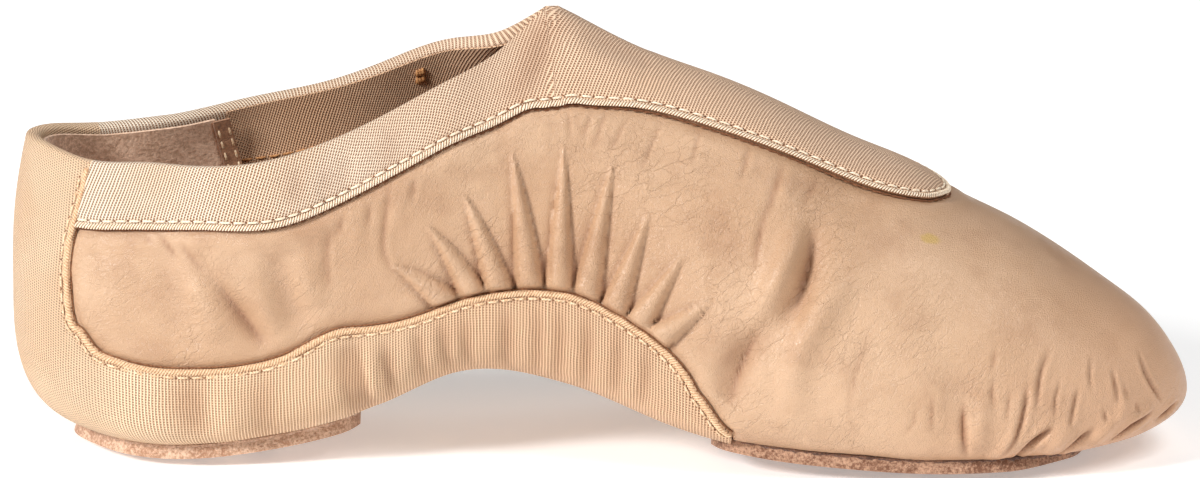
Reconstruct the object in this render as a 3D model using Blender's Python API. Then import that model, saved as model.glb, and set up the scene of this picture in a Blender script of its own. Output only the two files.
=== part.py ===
"""A slip-on split-sole jazz shoe, left, as separate solids: upper, collar gore, heel and arch panel, two sole pads
and insole.

Frame: +X runs from heel to toe, -Y is the inner side of the foot, +Z is up. The shoe stands on z = 0, and the
origin is under the middle of its box. Every piece is cut from, or laid on, one surface: the outside of the last.
A point of that surface is named by its side, its station (0 at the heel's back, 1 at the toe's tip) and its girth
(0 under the foot on the middle line, 1 at the widest level of the wall, 2 at the collar or on the ridge).
"""

import math

import bmesh
import bpy
import mathutils
import numpy as np

# Driving dimensions, in metres
LENGTH = 0.245
BALL_WIDTH = 0.082
HEEL_WIDTH = 0.056
INSTEP_HEIGHT = 0.0933
HEEL_HEIGHT = 0.0653
COLLAR_WIDTH = 0.054
ARCH_HEIGHT = 0.0155
TOE_TIP_HEIGHT = 0.0125
TOE_SWING = 0.0060

# Walls and clearances
UPPER_WALL = 0.0012
GORE_CLOTH = 0.0010
PANEL_CLOTH = 0.0010
PAD_THICKNESS = 0.0026
PAD_WEAR = 0.0004
INSOLE_THICKNESS = 0.0018
SEAT_GAP = 0.0003
INSOLE_CLEARANCE = 0.0005

# Gathered pleats of the inner quarter
PLEAT_HEIGHT = 0.0017
PLEAT_WIDTH = 0.0046
PLEAT_ROOT = 0.0006

# The last's own length: the heel's cloth lies behind it
LAST_LENGTH = LENGTH - PANEL_CLOTH - SEAT_GAP

# Where the forms begin and end, as shares of the length
THROAT = 0.455
HEEL_FAN = 0.110
HEEL_OPENING_END = 0.235
BALL_OPENING = (0.660, 0.915)
HEEL_PAD_END = 0.292
BALL_PAD_START = 0.600
PANEL_TURN = 0.582
PANEL_END = BALL_PAD_START - SEAT_GAP / LAST_LENGTH
BALL_PAD_END = 0.916
INSOLE_END = 0.965
GORE_START = 0.050
GORE_END = 0.798

# How far the cut-outs under heel and forefoot reach from the middle line, in girth
HEEL_OPENING_GIRTH = 0.22
BALL_OPENING_GIRTH = 0.30

# Steps of the facets
STATIONS = 37
LOWER_ROWS = 6
UPPER_ROWS = 8
COUNTER_COLUMNS = 6
PAD_ROWS = 5
INSOLE_ROWS = 3
FEATHER_CROWDING = 0.35
TOP_CROWDING = 1.5
END_CROWDING = 0.80
PLEAT_STEPS = 7

NEAR, FAR = -1.0, 1.0
SIDES = (NEAR, FAR)


class Table:
    """Rows of named columns at stations, read between the rows along a smooth curve.

    The curve runs over the station's angle on a half circle, so that a width may close round at either end.
    """

    def __init__(self, names, rows, flat=()):
        data = np.array(rows, dtype=float)
        self.knots = np.arccos(1.0 - 2.0 * data[:, 0])
        self.columns = {name: data[:, i + 1] for i, name in enumerate(names)}
        self.bends = {name: self.second_derivatives(self.columns[name], name in flat) for name in names}

    def second_derivatives(self, values, flat_ends):
        """Second derivatives of the cubic spline, with free ends or with level ones."""
        gaps = np.diff(self.knots)
        slopes = np.diff(values) / gaps
        size = len(values)
        matrix = np.zeros((size, size))
        right = np.zeros(size)
        for i in range(1, size - 1):
            matrix[i, i - 1:i + 2] = gaps[i - 1], 2.0 * (gaps[i - 1] + gaps[i]), gaps[i]
            right[i] = 6.0 * (slopes[i] - slopes[i - 1])
        matrix[0, 0] = matrix[-1, -1] = 1.0
        if flat_ends:
            matrix[0, :2] = 2.0 * gaps[0], gaps[0]
            matrix[-1, -2:] = gaps[-1], 2.0 * gaps[-1]
            right[0] = 6.0 * slopes[0]
            right[-1] = -6.0 * slopes[-1]
        return np.linalg.solve(matrix, right)

    def read(self, name, station):
        """The column's value at a station or an array of stations."""
        angle = np.arccos(np.clip(1.0 - 2.0 * np.asarray(station, dtype=float), -1.0, 1.0))
        knots, values, bends = self.knots, self.columns[name], self.bends[name]
        angle = np.clip(angle, knots[0], knots[-1])
        i = np.clip(np.searchsorted(knots, angle, side="right") - 1, 0, len(knots) - 2)
        gap = knots[i + 1] - knots[i]
        after = (angle - knots[i]) / gap
        before = 1.0 - after
        bow = (before ** 3 - before) * bends[i] + (after ** 3 - after) * bends[i + 1]
        return before * values[i] + after * values[i + 1] + bow * gap ** 2 / 6.0


# Half widths at the widest level of the wall, as shares of the local width, and the middle line's swing to the
# outer side, as a share of the toe's swing
OUTLINE = Table(("near", "far", "swing"), (
    (0.000, 0.000, 0.000, 0.00),
    (0.020, 0.270, 0.270, 0.00),
    (0.060, 0.415, 0.415, 0.00),
    (0.120, 0.490, 0.490, 0.00),
    (0.180, 0.505, 0.510, 0.05),
    (0.250, 0.482, 0.515, 0.12),
    (0.330, 0.425, 0.505, 0.18),
    (0.420, 0.375, 0.495, 0.20),
    (0.500, 0.375, 0.490, 0.18),
    (0.580, 0.415, 0.502, 0.12),
    (0.660, 0.458, 0.512, 0.02),
    (0.740, 0.476, 0.500, -0.12),
    (0.820, 0.456, 0.455, -0.32),
    (0.890, 0.386, 0.386, -0.58),
    (0.940, 0.296, 0.296, -0.78),
    (0.980, 0.176, 0.176, -0.94),
    (1.000, 0.000, 0.000, -1.00),
), flat=("swing",))

# Side profile: the bottom's rise under the arch as a share of the arch's height, its rise at the toe as a share of
# the way up to the toe's tip, and how far the widest level lies over the tip as a share of the heel's height
PROFILE = Table(("arch", "toe", "widest"), (
    (0.000, 0.00, 0.00, 0.270),
    (0.030, 0.00, 0.00, 0.190),
    (0.060, 0.00, 0.00, 0.125),
    (0.120, 0.00, 0.00, 0.070),
    (0.160, 0.03, 0.00, 0.065),
    (0.210, 0.12, 0.00, 0.080),
    (0.255, 0.25, 0.00, 0.115),
    (0.290, 0.40, 0.00, 0.160),
    (0.330, 0.66, 0.00, 0.240),
    (0.370, 0.93, 0.00, 0.300),
    (0.410, 1.00, 0.00, 0.310),
    (0.450, 0.92, 0.00, 0.280),
    (0.500, 0.70, 0.00, 0.210),
    (0.545, 0.44, 0.00, 0.140),
    (0.590, 0.24, 0.00, 0.090),
    (0.640, 0.11, 0.00, 0.055),
    (0.700, 0.05, 0.00, 0.030),
    (0.760, 0.00, 0.00, 0.020),
    (0.850, 0.00, 0.00, 0.012),
    (0.910, 0.00, 0.05, 0.010),
    (0.950, 0.00, 0.17, 0.006),
    (0.980, 0.00, 0.42, 0.002),
    (1.000, 0.00, 1.00, 0.000),
), flat=("arch",))

# Collar: how far its edge lies ahead of the station as a share of the length, its half width as a share of the
# collar's width, its height as a share of the local height, and its inward lean in degrees
COLLAR = Table(("ahead", "half", "height", "lean"), (
    (0.000, 0.0120, 0.000, 1.000, 12.0),
    (0.020, 0.0120, 0.165, 0.994, 14.0),
    (0.060, 0.0100, 0.262, 0.974, 16.0),
    (0.120, 0.0060, 0.345, 0.976, 18.0),
    (0.160, 0.0020, 0.430, 0.962, 18.0),
    (0.210, 0.0000, 0.495, 0.944, 18.0),
    (0.260, 0.0000, 0.478, 0.912, 22.0),
    (0.310, 0.0000, 0.412, 0.898, 30.0),
    (0.370, 0.0000, 0.310, 0.902, 42.0),
    (0.415, 0.0000, 0.155, 0.925, 60.0),
    (THROAT, 0.0000, 0.000, 1.000, 88.0),
))

# Ridge of the vamp: its height as a share of the way from the toe's tip up to the instep
RIDGE = Table(("height",), (
    (THROAT, 1.000),
    (0.490, 0.925),
    (0.545, 0.835),
    (0.640, 0.728),
    (0.715, 0.617),
    (0.800, 0.493),
    (0.850, 0.427),
    (0.890, 0.352),
    (0.930, 0.262),
    (0.960, 0.188),
    (0.982, 0.122),
    (0.994, 0.068),
    (1.000, 0.000),
))

# How full the wall is: the pulls of its curves at the widest level, under the foot and at the top
FULLNESS = Table(("side_down", "under", "side_up", "top"), (
    (0.000, 0.74, 0.74, 0.40, 0.45),
    (0.060, 0.80, 0.86, 0.42, 0.42),
    (0.120, 0.84, 0.92, 0.44, 0.40),
    (0.250, 0.80, 0.86, 0.44, 0.40),
    (0.400, 0.74, 0.76, 0.44, 0.40),
    (THROAT, 0.72, 0.76, 0.45, 0.42),
    (0.540, 0.74, 0.80, 0.52, 0.50),
    (0.700, 0.84, 0.92, 0.58, 0.54),
    (0.850, 0.84, 0.90, 0.60, 0.56),
    (1.000, 0.70, 0.70, 0.56, 0.58),
), flat=("side_down", "under", "side_up", "top"))

# Stitched edge of the collar gore: its girth on the wall
GORE_EDGE = Table(("girth",), (
    (GORE_START, 1.715),
    (0.110, 1.740),
    (0.165, 1.756),
    (0.210, 1.738),
    (0.290, 1.727),
    (0.370, 1.692),
    (0.405, 1.690),
    (0.428, 1.655),
    (0.450, 1.590),
    (0.482, 1.620),
    (0.515, 1.680),
    (0.580, 1.745),
    (0.645, 1.733),
    (0.705, 1.747),
    (0.755, 1.782),
    (0.784, 1.850),
    (GORE_END, 1.930),
))

# Stitched edge of the heel and arch panel along the quarter: its girth on the wall
PANEL_EDGE = Table(("girth",), (
    (0.045, 1.459),
    (0.048, 1.320),
    (0.056, 1.216),
    (0.071, 1.130),
    (0.094, 1.086),
    (0.131, 1.066),
    (0.165, 1.074),
    (0.206, 1.080),
    (0.240, 1.096),
    (0.270, 1.120),
    (0.293, 1.115),
    (0.325, 1.065),
    (0.352, 1.062),
    (0.417, 1.086),
    (0.470, 1.104),
    (0.500, 1.112),
    (0.527, 1.102),
    (0.570, 1.056),
    (0.587, 1.005),
    (0.594, 0.930),
    (BALL_PAD_START, 0.820),
))

# Upright edge of the counter from that seam up to the collar: its station at each girth, as a share of the whole
COUNTER_EDGE = Table(("station",), (
    (0.730, 0.0450),
    (0.795, 0.0458),
    (0.855, 0.0488),
    (0.908, 0.0518),
    (0.950, 0.0560),
    (1.000, 0.0660),
))
COUNTER_CORNER = 1.459

# Outlines of the pads and the insole: how far they reach from the middle line, in girth
HEEL_PAD_EDGE = Table(("girth",), (
    (0.000, 0.290),
    (0.030, 0.330),
    (0.080, 0.400),
    (0.150, 0.440),
    (0.220, 0.430),
    (0.265, 0.390),
    (0.282, 0.330),
    (HEEL_PAD_END, 0.220),
))
BALL_PAD_EDGE = Table(("girth",), (
    (BALL_PAD_START, 0.300),
    (0.612, 0.430),
    (0.635, 0.500),
    (0.700, 0.530),
    (0.800, 0.550),
    (0.860, 0.530),
    (0.895, 0.440),
    (0.909, 0.330),
    (BALL_PAD_END, 0.180),
))
INSOLE_EDGE = Table(("girth",), (
    (0.000, 0.180),
    (0.060, 0.280),
    (0.150, 0.330),
    (0.400, 0.360),
    (0.600, 0.340),
    (0.800, 0.380),
    (0.920, 0.320),
    (INSOLE_END, 0.160),
))

# The nine pleats that fan up from the arch: station and girth of each pleat's tip and of its foot over the seam
PLEATS = (
    dict(tip=(0.320, 1.331), foot=(0.366, 1.110)),
    dict(tip=(0.350, 1.443), foot=(0.391, 1.110)),
    dict(tip=(0.382, 1.507), foot=(0.416, 1.118)),
    dict(tip=(0.422, 1.539), foot=(0.442, 1.126)),
    dict(tip=(0.470, 1.515), foot=(0.467, 1.138)),
    dict(tip=(0.514, 1.499), foot=(0.490, 1.150)),
    dict(tip=(0.546, 1.423), foot=(0.513, 1.152)),
    dict(tip=(0.577, 1.335), foot=(0.536, 1.144)),
    dict(tip=(0.603, 1.242), foot=(0.556, 1.126)),
)


def smoothstep(low, high, value):
    """0 under low, 1 over high, and an even blend between."""
    share = np.clip((np.asarray(value, dtype=float) - low) / (high - low), 0.0, 1.0)
    return share * share * (3.0 - 2.0 * share)


def local_width(station):
    """The width that the outline's shares are taken of: the heel's, turning into the ball's."""
    blend = smoothstep(0.15, 0.60, station)
    return HEEL_WIDTH * (1.0 - blend) + BALL_WIDTH * blend


def local_height(station):
    """The height that the collar's shares are taken of: the heel's, turning into the instep's."""
    blend = smoothstep(0.12, THROAT, station)
    return HEEL_HEIGHT * (1.0 - blend) + INSTEP_HEIGHT * blend


def middle(station):
    """Sideways place of the middle line."""
    return OUTLINE.read("swing", station) * TOE_SWING


def bottom_height(station):
    """Height of the upper's bottom on the middle line."""
    under_heel = (PANEL_CLOTH + SEAT_GAP) * (1.0 - smoothstep(HEEL_PAD_END, BALL_PAD_START, station))
    floor = PAD_THICKNESS + SEAT_GAP - PAD_WEAR + under_heel
    toe = PROFILE.read("toe", station) * (TOE_TIP_HEIGHT - floor)
    return floor + PROFILE.read("arch", station) * ARCH_HEIGHT + toe


def stack(x, y, z):
    """Points from three arrays of coordinates."""
    return np.stack(np.broadcast_arrays(x, y, z), axis=-1)


def wall_frame(side, station):
    """The three points that a half section hangs on, under, widest and top, and its direction at the top."""
    station = np.asarray(station, dtype=float)
    width = local_width(station)
    half = np.where(side < 0, OUTLINE.read("near", station), OUTLINE.read("far", station)) * width
    centre = middle(station)
    widest_height = TOE_TIP_HEIGHT + PROFILE.read("widest", station) * HEEL_HEIGHT
    under_ahead = HEEL_FAN * (1.0 - smoothstep(0.0, 2.0 * HEEL_FAN, station))
    under = stack((station + under_ahead) * LAST_LENGTH, centre, bottom_height(station))
    widest = stack(station * LAST_LENGTH, centre + side * half, widest_height)

    open_top = station < THROAT
    rim_half = np.clip(COLLAR.read("half", station), 0.0, None) * COLLAR_WIDTH
    rim = stack((station + COLLAR.read("ahead", station)) * LAST_LENGTH, centre + side * rim_half,
                COLLAR.read("height", station) * local_height(station))
    ridge_height = TOE_TIP_HEIGHT + RIDGE.read("height", station) * (INSTEP_HEIGHT - TOE_TIP_HEIGHT)
    ridge = stack(station * LAST_LENGTH, centre, ridge_height)
    top = np.where(open_top[..., None], rim, ridge)
    lean = np.radians(np.where(open_top, COLLAR.read("lean", station), 90.0))
    inward = top - widest
    inward[..., 2] = 0.0
    reach = np.linalg.norm(inward, axis=-1)
    inward = inward / np.maximum(reach, 1e-9)[..., None]
    direction = inward * np.sin(lean)[..., None]
    direction[..., 2] = np.cos(lean)
    return under, widest, top, direction, reach, lean


def last_point(side, station, girth):
    """Points on the outside of the last.

    side is -1 on the inner side and 1 on the outer side. station and girth are arrays of one shape.
    """
    station, girth = np.broadcast_arrays(np.asarray(station, dtype=float), np.asarray(girth, dtype=float))
    under, widest, top, direction, reach, lean = wall_frame(side, station)
    up = np.array((0.0, 0.0, 1.0))

    # Under curve, from the middle line to the widest level
    drop = (widest - under)[..., 2]
    outward = widest - under
    outward[..., 2] = 0.0
    under_pull = under + outward * FULLNESS.read("under", station)[..., None]
    down_pull = widest - up * (drop * FULLNESS.read("side_down", station))[..., None]
    lower = bezier(under, under_pull, down_pull, widest, np.clip(girth, 0.0, 1.0))

    # Upper curve, from the widest level to the collar or the ridge
    rise = (top - widest)[..., 2]
    up_pull = widest + up * (rise * FULLNESS.read("side_up", station))[..., None]
    pull = FULLNESS.read("top", station) * (reach * np.sin(lean) + rise * np.cos(lean))
    top_pull = top - direction * pull[..., None]
    upper = bezier(widest, up_pull, top_pull, top, np.clip(girth - 1.0, 0.0, 1.0))
    return np.where((girth < 1.0)[..., None], lower, upper)


def bezier(first, second, third, fourth, share):
    """Points on a cubic curve at a share of its way."""
    s = share[..., None]
    r = 1.0 - s
    return r ** 3 * first + 3.0 * r * r * s * second + 3.0 * r * s * s * third + s ** 3 * fourth


def last_normal(side, station, girth):
    """Outward unit normals of the last."""
    station, girth = np.broadcast_arrays(np.asarray(station, dtype=float), np.asarray(girth, dtype=float))
    step = 1e-4
    low_s, high_s = np.clip(station - step, 0.0, 1.0), np.clip(station + step, 0.0, 1.0)
    low_g, high_g = np.clip(girth - step, 0.0, 2.0), np.clip(girth + step, 0.0, 2.0)
    along = last_point(side, high_s, girth) - last_point(side, low_s, girth)
    around = last_point(side, station, high_g) - last_point(side, station, low_g)
    normal = np.cross(around, along) * side
    length = np.linalg.norm(normal, axis=-1)
    normal = normal / np.maximum(length, 1e-15)[..., None]
    # The toe's tip looks straight ahead
    ahead = np.zeros_like(normal)
    ahead[..., 0] = 1.0
    normal = np.where((station > 1.0 - 1e-6)[..., None], ahead, normal)
    # On the middle line under the foot, on the ridge and down the heel's back both sides share one normal
    level = (girth < 1e-6) | ((girth > 2.0 - 1e-6) & (station >= THROAT)) | (station < 1e-6)
    flat = normal.copy()
    flat[..., 1] = 0.0
    flat = flat / np.maximum(np.linalg.norm(flat, axis=-1), 1e-15)[..., None]
    return np.where(level[..., None], flat, normal)


def laid_on(side, station, girth, lift):
    """Points at a height over the last's outside, or under it where the lift is negative."""
    return last_point(side, station, girth) + last_normal(side, station, girth) * np.asarray(lift)[..., None]


def stations_between(first, last):
    """The facets' stations from first to last, crowded at heel and toe. All pieces share them, so facets line up."""
    way = np.linspace(0.0, 1.0, STATIONS + 1)
    even = END_CROWDING * 0.5 * (1.0 - np.cos(math.pi * way)) + (1.0 - END_CROWDING) * way
    wanted = sorted({first, last, THROAT, HEEL_OPENING_END, PANEL_TURN, PANEL_END, *BALL_OPENING})
    least = 0.30 / STATIONS
    kept = [s for s in even if min(abs(s - w) for w in wanted) > least]
    return np.array([s for s in sorted(wanted + kept) if first <= s <= last])


def opening_girth(station):
    """Girth of the edge of the cut-outs under heel and forefoot: 0 where the bottom is whole."""
    heel = 1.0 - (station / HEEL_OPENING_END) ** 2
    start, end = BALL_OPENING
    way = (station - start) / (end - start)
    ball = 4.0 * way * (1.0 - way)
    return HEEL_OPENING_GIRTH * round_end(heel) + BALL_OPENING_GIRTH * round_end(ball)


def round_end(share):
    """A share that falls to 0 as a round end does."""
    return np.sqrt(np.clip(share, 0.0, 1.0)) * (share > 1e-9)


def counter_edge(girth):
    """Station of the counter's upright edge at a girth."""
    return COUNTER_EDGE.read("station", np.maximum(girth, COUNTER_CORNER) / 2.0)


def even_rows(count):
    """Even shares of the way from 0 to 1."""
    return np.linspace(0.0, 1.0, count + 1)


def wall_rows(stations):
    """Girths of the whole wall's rows at each station, from the cut-outs' edge or the middle line to the top.

    They crowd where the bottom turns into the side, and towards the top. The pieces that lie on the wall share
    them, so that their facets stay parallel.
    """
    way = even_rows(LOWER_ROWS)
    lower = way + FEATHER_CROWDING * np.sin(2.0 * math.pi * way) / (2.0 * math.pi)
    upper = 2.0 - (1.0 - even_rows(UPPER_ROWS)) ** TOP_CROWDING
    edge = opening_girth(stations)[:, None]
    return np.hstack([edge + (1.0 - edge) * lower[None, :], np.repeat(upper[None, 1:], len(stations), axis=0)])


class LaidSolid:
    """A closed solid between two sheets that follow the last, made of columns of facets on both sides of it."""

    def __init__(self, inner, outer, floor=None):
        self.inner = inner
        self.outer = outer
        self.floor = floor
        self.mesh = bmesh.new()
        self.ends = {}
        self.faces = []

    def add_patch(self, station, girth):
        """Adds the same grid of facets to both sides. station and girth are grids: columns by rows."""
        station = np.broadcast_to(station, girth.shape)
        for side in SIDES:
            layers = [laid_on(side, station, girth, np.full(girth.shape, lift)) for lift in (self.inner, self.outer)]
            keys = [[self.key(side, s, g) for s, g in zip(*column)] for column in zip(station, girth)]
            for index in np.ndindex(girth.shape):
                key = keys[index[0]][index[1]]
                if key not in self.ends:
                    self.ends[key] = [self.vertex(layer[index]) for layer in layers]
            for i in range(girth.shape[0] - 1):
                for j in range(girth.shape[1] - 1):
                    low, high = keys[i][j], keys[i + 1][j + 1]
                    self.add_face((low, keys[i + 1][j], high), side)
                    self.add_face((low, high, keys[i][j + 1]), side)

    def key(self, side, station, girth):
        """The name of a place on the last: places on the middle line belong to both sides, and the tip is one."""
        station, girth = round(float(station), 9), round(float(girth), 9)
        if station >= 1.0:
            return "tip"
        shared = girth <= 0.0 or station <= 0.0 or (girth >= 2.0 and station >= THROAT)
        return 0.0 if shared else side, station, girth

    def vertex(self, place):
        """A vertex, no lower than the floor that the solid stands on."""
        if self.floor is not None:
            place = (place[0], place[1], max(place[2], self.floor))
        return self.mesh.verts.new(place)

    def add_face(self, corners, side):
        """Keeps a triangle, unless two of its corners meet."""
        if len(set(corners)) == 3:
            self.faces.append(list(corners if side == NEAR else corners[::-1]))

    def finish(self, name, finish, collection):
        """Closes the two sheets along their open edges and puts the solid into the scene."""
        edges = [pair for face in self.faces for pair in zip(face, face[1:] + face[:1])]
        both_ways = set(edges)
        for face in self.faces:
            self.mesh.faces.new([self.ends[key][1] for key in face])
            self.mesh.faces.new([self.ends[key][0] for key in reversed(face)])
        for start, end in edges:
            if (end, start) not in both_ways:
                rim = [self.ends[end][1], self.ends[start][1], self.ends[start][0], self.ends[end][0]]
                self.mesh.faces.new(rim)
        bmesh.ops.recalc_face_normals(self.mesh, faces=self.mesh.faces)
        return to_object(self.mesh, name, finish, collection)


def to_object(mesh, name, finish, collection):
    """Puts a bmesh into the scene as a named object with its material, shaded smooth up to its hard edges."""
    data = bpy.data.meshes.new(name)
    mesh.to_mesh(data)
    mesh.free()
    data.materials.append(finish)
    data.shade_smooth()
    data.set_sharp_from_angle(angle=math.radians(40.0))
    solid = bpy.data.objects.new(name, data)
    collection.objects.link(solid)
    return solid


def make_upper(collection, finish):
    """The lasted leather shell, open at the collar and under heel and forefoot, with its pleats raised."""
    stations = stations_between(0.0, 1.0)
    shell = LaidSolid(inner=-UPPER_WALL, outer=0.0)
    shell.add_patch(stations[:, None], wall_rows(stations))
    leather = shell.finish("upper", finish, collection)
    strips = make_pleats(collection, finish)
    union = leather.modifiers.new("raise_pleats", "BOOLEAN")
    union.operation = "UNION"
    union.solver = "EXACT"
    union.object = strips
    return leather


def make_pleats(collection, finish):
    """Guide solid: nine tapered, round-backed strips that stand half sunk in the wall of the inner quarter."""
    mesh = bmesh.new()
    way = np.linspace(0.0, 1.0, PLEAT_STEPS + 1)
    for pleat in PLEATS:
        (tip_station, tip_girth), (foot_station, foot_girth) = pleat["tip"], pleat["foot"]
        station = foot_station + (tip_station - foot_station) * way
        girth = foot_girth + (tip_girth - foot_girth) * way
        spine = last_point(NEAR, station, girth)
        out = last_normal(NEAR, station, girth)
        across = np.cross(out, np.gradient(spine, axis=0))
        across = across / np.linalg.norm(across, axis=-1)[:, None]
        taper = 1.0 - 0.88 * way ** 0.8
        half = 0.5 * PLEAT_WIDTH * taper
        height = PLEAT_HEIGHT * taper
        rings = []
        for i in range(len(way)):
            profile = ((-1.0, 0.0), (-0.62, 0.72), (0.0, 1.0), (0.62, 0.72), (1.0, 0.0))
            ring = [spine[i] + across[i] * half[i] * u + out[i] * height[i] * v for u, v in profile]
            ring += [spine[i] + across[i] * half[i] * u - out[i] * PLEAT_ROOT for u in (1.0, -1.0)]
            rings.append([mesh.verts.new(place) for place in ring])
        for lower, upper in zip(rings, rings[1:]):
            for k in range(len(lower)):
                mesh.faces.new((lower[k - 1], lower[k], upper[k], upper[k - 1]))
        mesh.faces.new(rings[0][::-1])
        mesh.faces.new(rings[-1])
    bmesh.ops.recalc_face_normals(mesh, faces=mesh.faces)
    strips = to_object(mesh, "pleat_strips", finish, collection)
    strips.hide_render = True
    strips.display_type = "WIRE"
    return strips


def make_gore(collection, finish):
    """The stretch collar, from its stitched edge up to the topline and over the throat to its blunt front end."""
    gap = SEAT_GAP / LAST_LENGTH
    rear = float(counter_edge(GORE_EDGE.read("girth", GORE_START))) + gap
    stations = stations_between(rear, GORE_END)
    girth = np.maximum(wall_rows(stations), GORE_EDGE.read("girth", stations)[:, None])
    fade = 1.0 - smoothstep(rear, 2.5 * rear, stations)
    lean = (counter_edge(girth) + gap - rear) * fade[:, None]
    solid = LaidSolid(inner=SEAT_GAP, outer=SEAT_GAP + GORE_CLOTH)
    solid.add_patch(stations[:, None] + lean, girth)
    return solid.finish("collar_gore", finish, collection)


def make_panel(collection, finish):
    """The stretch counter round the heel, which runs on under the arch to the forefoot pad."""
    solid = LaidSolid(inner=SEAT_GAP, outer=SEAT_GAP + PANEL_CLOTH)
    corner = float(counter_edge(COUNTER_CORNER))
    stations = stations_between(corner, PANEL_END)
    edge = np.append(COUNTER_CORNER, PANEL_EDGE.read("girth", stations[1:]))
    solid.add_patch(stations[:, None], np.minimum(wall_rows(stations), edge[:, None]))

    # Round the heel's back the columns spread upwards to the counter's leaning edge
    way = even_rows(COUNTER_COLUMNS) ** 2
    girth = wall_rows(corner * way)
    solid.add_patch(corner * way[:, None], np.minimum(girth, COUNTER_CORNER))
    girth = np.maximum(girth, COUNTER_CORNER)
    solid.add_patch(way[:, None] * counter_edge(girth), girth)
    return solid.finish("heel_arch_panel", finish, collection)


def make_pad(name, first, last, edge, under_cloth, collection, finish):
    """A suede sole pad under heel or forefoot, worn flat where it stands."""
    stations = stations_between(first, last)
    top = SEAT_GAP + under_cloth
    solid = LaidSolid(inner=top, outer=top + PAD_THICKNESS, floor=0.0)
    reach = edge.read("girth", stations)
    rows = np.sin(0.5 * math.pi * even_rows(PAD_ROWS))
    solid.add_patch(stations[:, None], reach[:, None] * rows)
    return solid.finish(name, finish, collection)


def make_insole(collection, finish):
    """The sock that lies inside along the whole foot."""
    stations = stations_between(0.0, INSOLE_END)
    seat = -UPPER_WALL - INSOLE_CLEARANCE
    solid = LaidSolid(inner=seat - INSOLE_THICKNESS, outer=seat)
    reach = INSOLE_EDGE.read("girth", stations)
    solid.add_patch(stations[:, None], reach[:, None] * even_rows(INSOLE_ROWS))
    return solid.finish("insole", finish, collection)


def make_material(name, colour, roughness):
    """A plain material with the piece's own colour."""
    made = bpy.data.materials.new(name)
    made.use_nodes = True
    shader = made.node_tree.nodes["Principled BSDF"]
    shader.inputs["Base Color"].default_value = (*colour, 1.0)
    shader.inputs["Roughness"].default_value = roughness
    shader.inputs["Metallic"].default_value = 0.0
    made.diffuse_color = (*colour, 1.0)
    return made


def centre_under_box(solids, guides):
    """Moves every mesh so that the origin lies under the middle of the whole shoe's box."""
    places = np.array([vertex.co for solid in solids for vertex in solid.data.vertices])
    low, high = places.min(axis=0), places.max(axis=0)
    shift = -0.5 * (low + high)
    shift[2] = 0.0
    for thing in solids + guides:
        for vertex in thing.data.vertices:
            vertex.co += mathutils.Vector(shift)
        thing.data.update()


def main():
    """Clears the scene and builds the shoe's pieces."""
    for thing in list(bpy.data.objects):
        bpy.data.objects.remove(thing, do_unlink=True)
    collection = bpy.context.scene.collection
    leather = make_material("tan_leather", (0.73, 0.46, 0.26), 0.45)
    gore_cloth = make_material("collar_mesh", (0.80, 0.60, 0.40), 0.75)
    panel_cloth = make_material("heel_mesh", (0.74, 0.50, 0.30), 0.75)
    suede = make_material("pad_suede", (0.50, 0.30, 0.18), 0.95)
    sock = make_material("insole_cloth", (0.42, 0.28, 0.18), 0.90)
    under_panel = PANEL_CLOTH + SEAT_GAP
    solids = [
        make_upper(collection, leather),
        make_gore(collection, gore_cloth),
        make_panel(collection, panel_cloth),
        make_pad("outsole_heel", 0.0, HEEL_PAD_END, HEEL_PAD_EDGE, under_panel, collection, suede),
        make_pad("outsole_forefoot", BALL_PAD_START, BALL_PAD_END, BALL_PAD_EDGE, 0.0, collection, suede),
        make_insole(collection, sock),
    ]
    centre_under_box(solids, [bpy.data.objects["pleat_strips"]])


main()
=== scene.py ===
"""The looks of a slip-on split-sole jazz shoe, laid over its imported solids.

Frame: +X runs from heel to toe, -Y is the inner side of the foot, which the camera sees, and +Z is up. Every
piece follows one surface, the outside of the last. A place on it is named by its side, its station (0 at the
heel's back, 1 at the toe's tip) and its girth (0 under the foot, 1 at the widest level, 2 at the collar or
ridge).
"""

import logging
import math
from collections.abc import Callable, Sequence
from dataclasses import dataclass, field, replace
from enum import Enum

import bpy
import numpy as np
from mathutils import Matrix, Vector


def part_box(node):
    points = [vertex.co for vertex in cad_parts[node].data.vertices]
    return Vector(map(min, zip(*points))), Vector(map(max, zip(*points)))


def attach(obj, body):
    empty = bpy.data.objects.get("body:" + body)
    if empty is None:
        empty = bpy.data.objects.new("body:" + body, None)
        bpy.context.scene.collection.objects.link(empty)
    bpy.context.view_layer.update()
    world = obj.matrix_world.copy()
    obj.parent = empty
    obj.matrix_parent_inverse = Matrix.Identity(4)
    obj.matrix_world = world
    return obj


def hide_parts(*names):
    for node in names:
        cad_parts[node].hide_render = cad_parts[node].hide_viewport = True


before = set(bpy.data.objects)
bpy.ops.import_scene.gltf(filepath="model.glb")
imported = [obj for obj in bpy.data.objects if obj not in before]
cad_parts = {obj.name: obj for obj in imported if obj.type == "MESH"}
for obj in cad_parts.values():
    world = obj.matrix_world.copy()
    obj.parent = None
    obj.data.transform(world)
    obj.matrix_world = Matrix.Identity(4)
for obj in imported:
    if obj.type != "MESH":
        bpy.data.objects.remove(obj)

LOG = logging.getLogger("jazz_shoe")
Array = np.ndarray
Colour = tuple[float, float, float]
Pair = tuple[float, float]
Pairs = tuple[Pair, ...]
Piece = bpy.types.Object
Material = bpy.types.Material
BODY = "root"
CREASE = "crease_depth"
MILLIMETRE = 0.001


class Side(Enum):
    """The inner side of the foot, near the camera, or the outer one."""

    NEAR = -1.0
    FAR = 1.0


class FoldKind(Enum):
    """How a fold of leather or cloth looks when it is cut across."""

    SOFT = "an even swell or trough"
    CREASE = "a sharp trough between two soft shoulders"
    TUBE = "a round tube that tapers from its foot to its tip"


Spot = tuple[Side, float, float]


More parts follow.
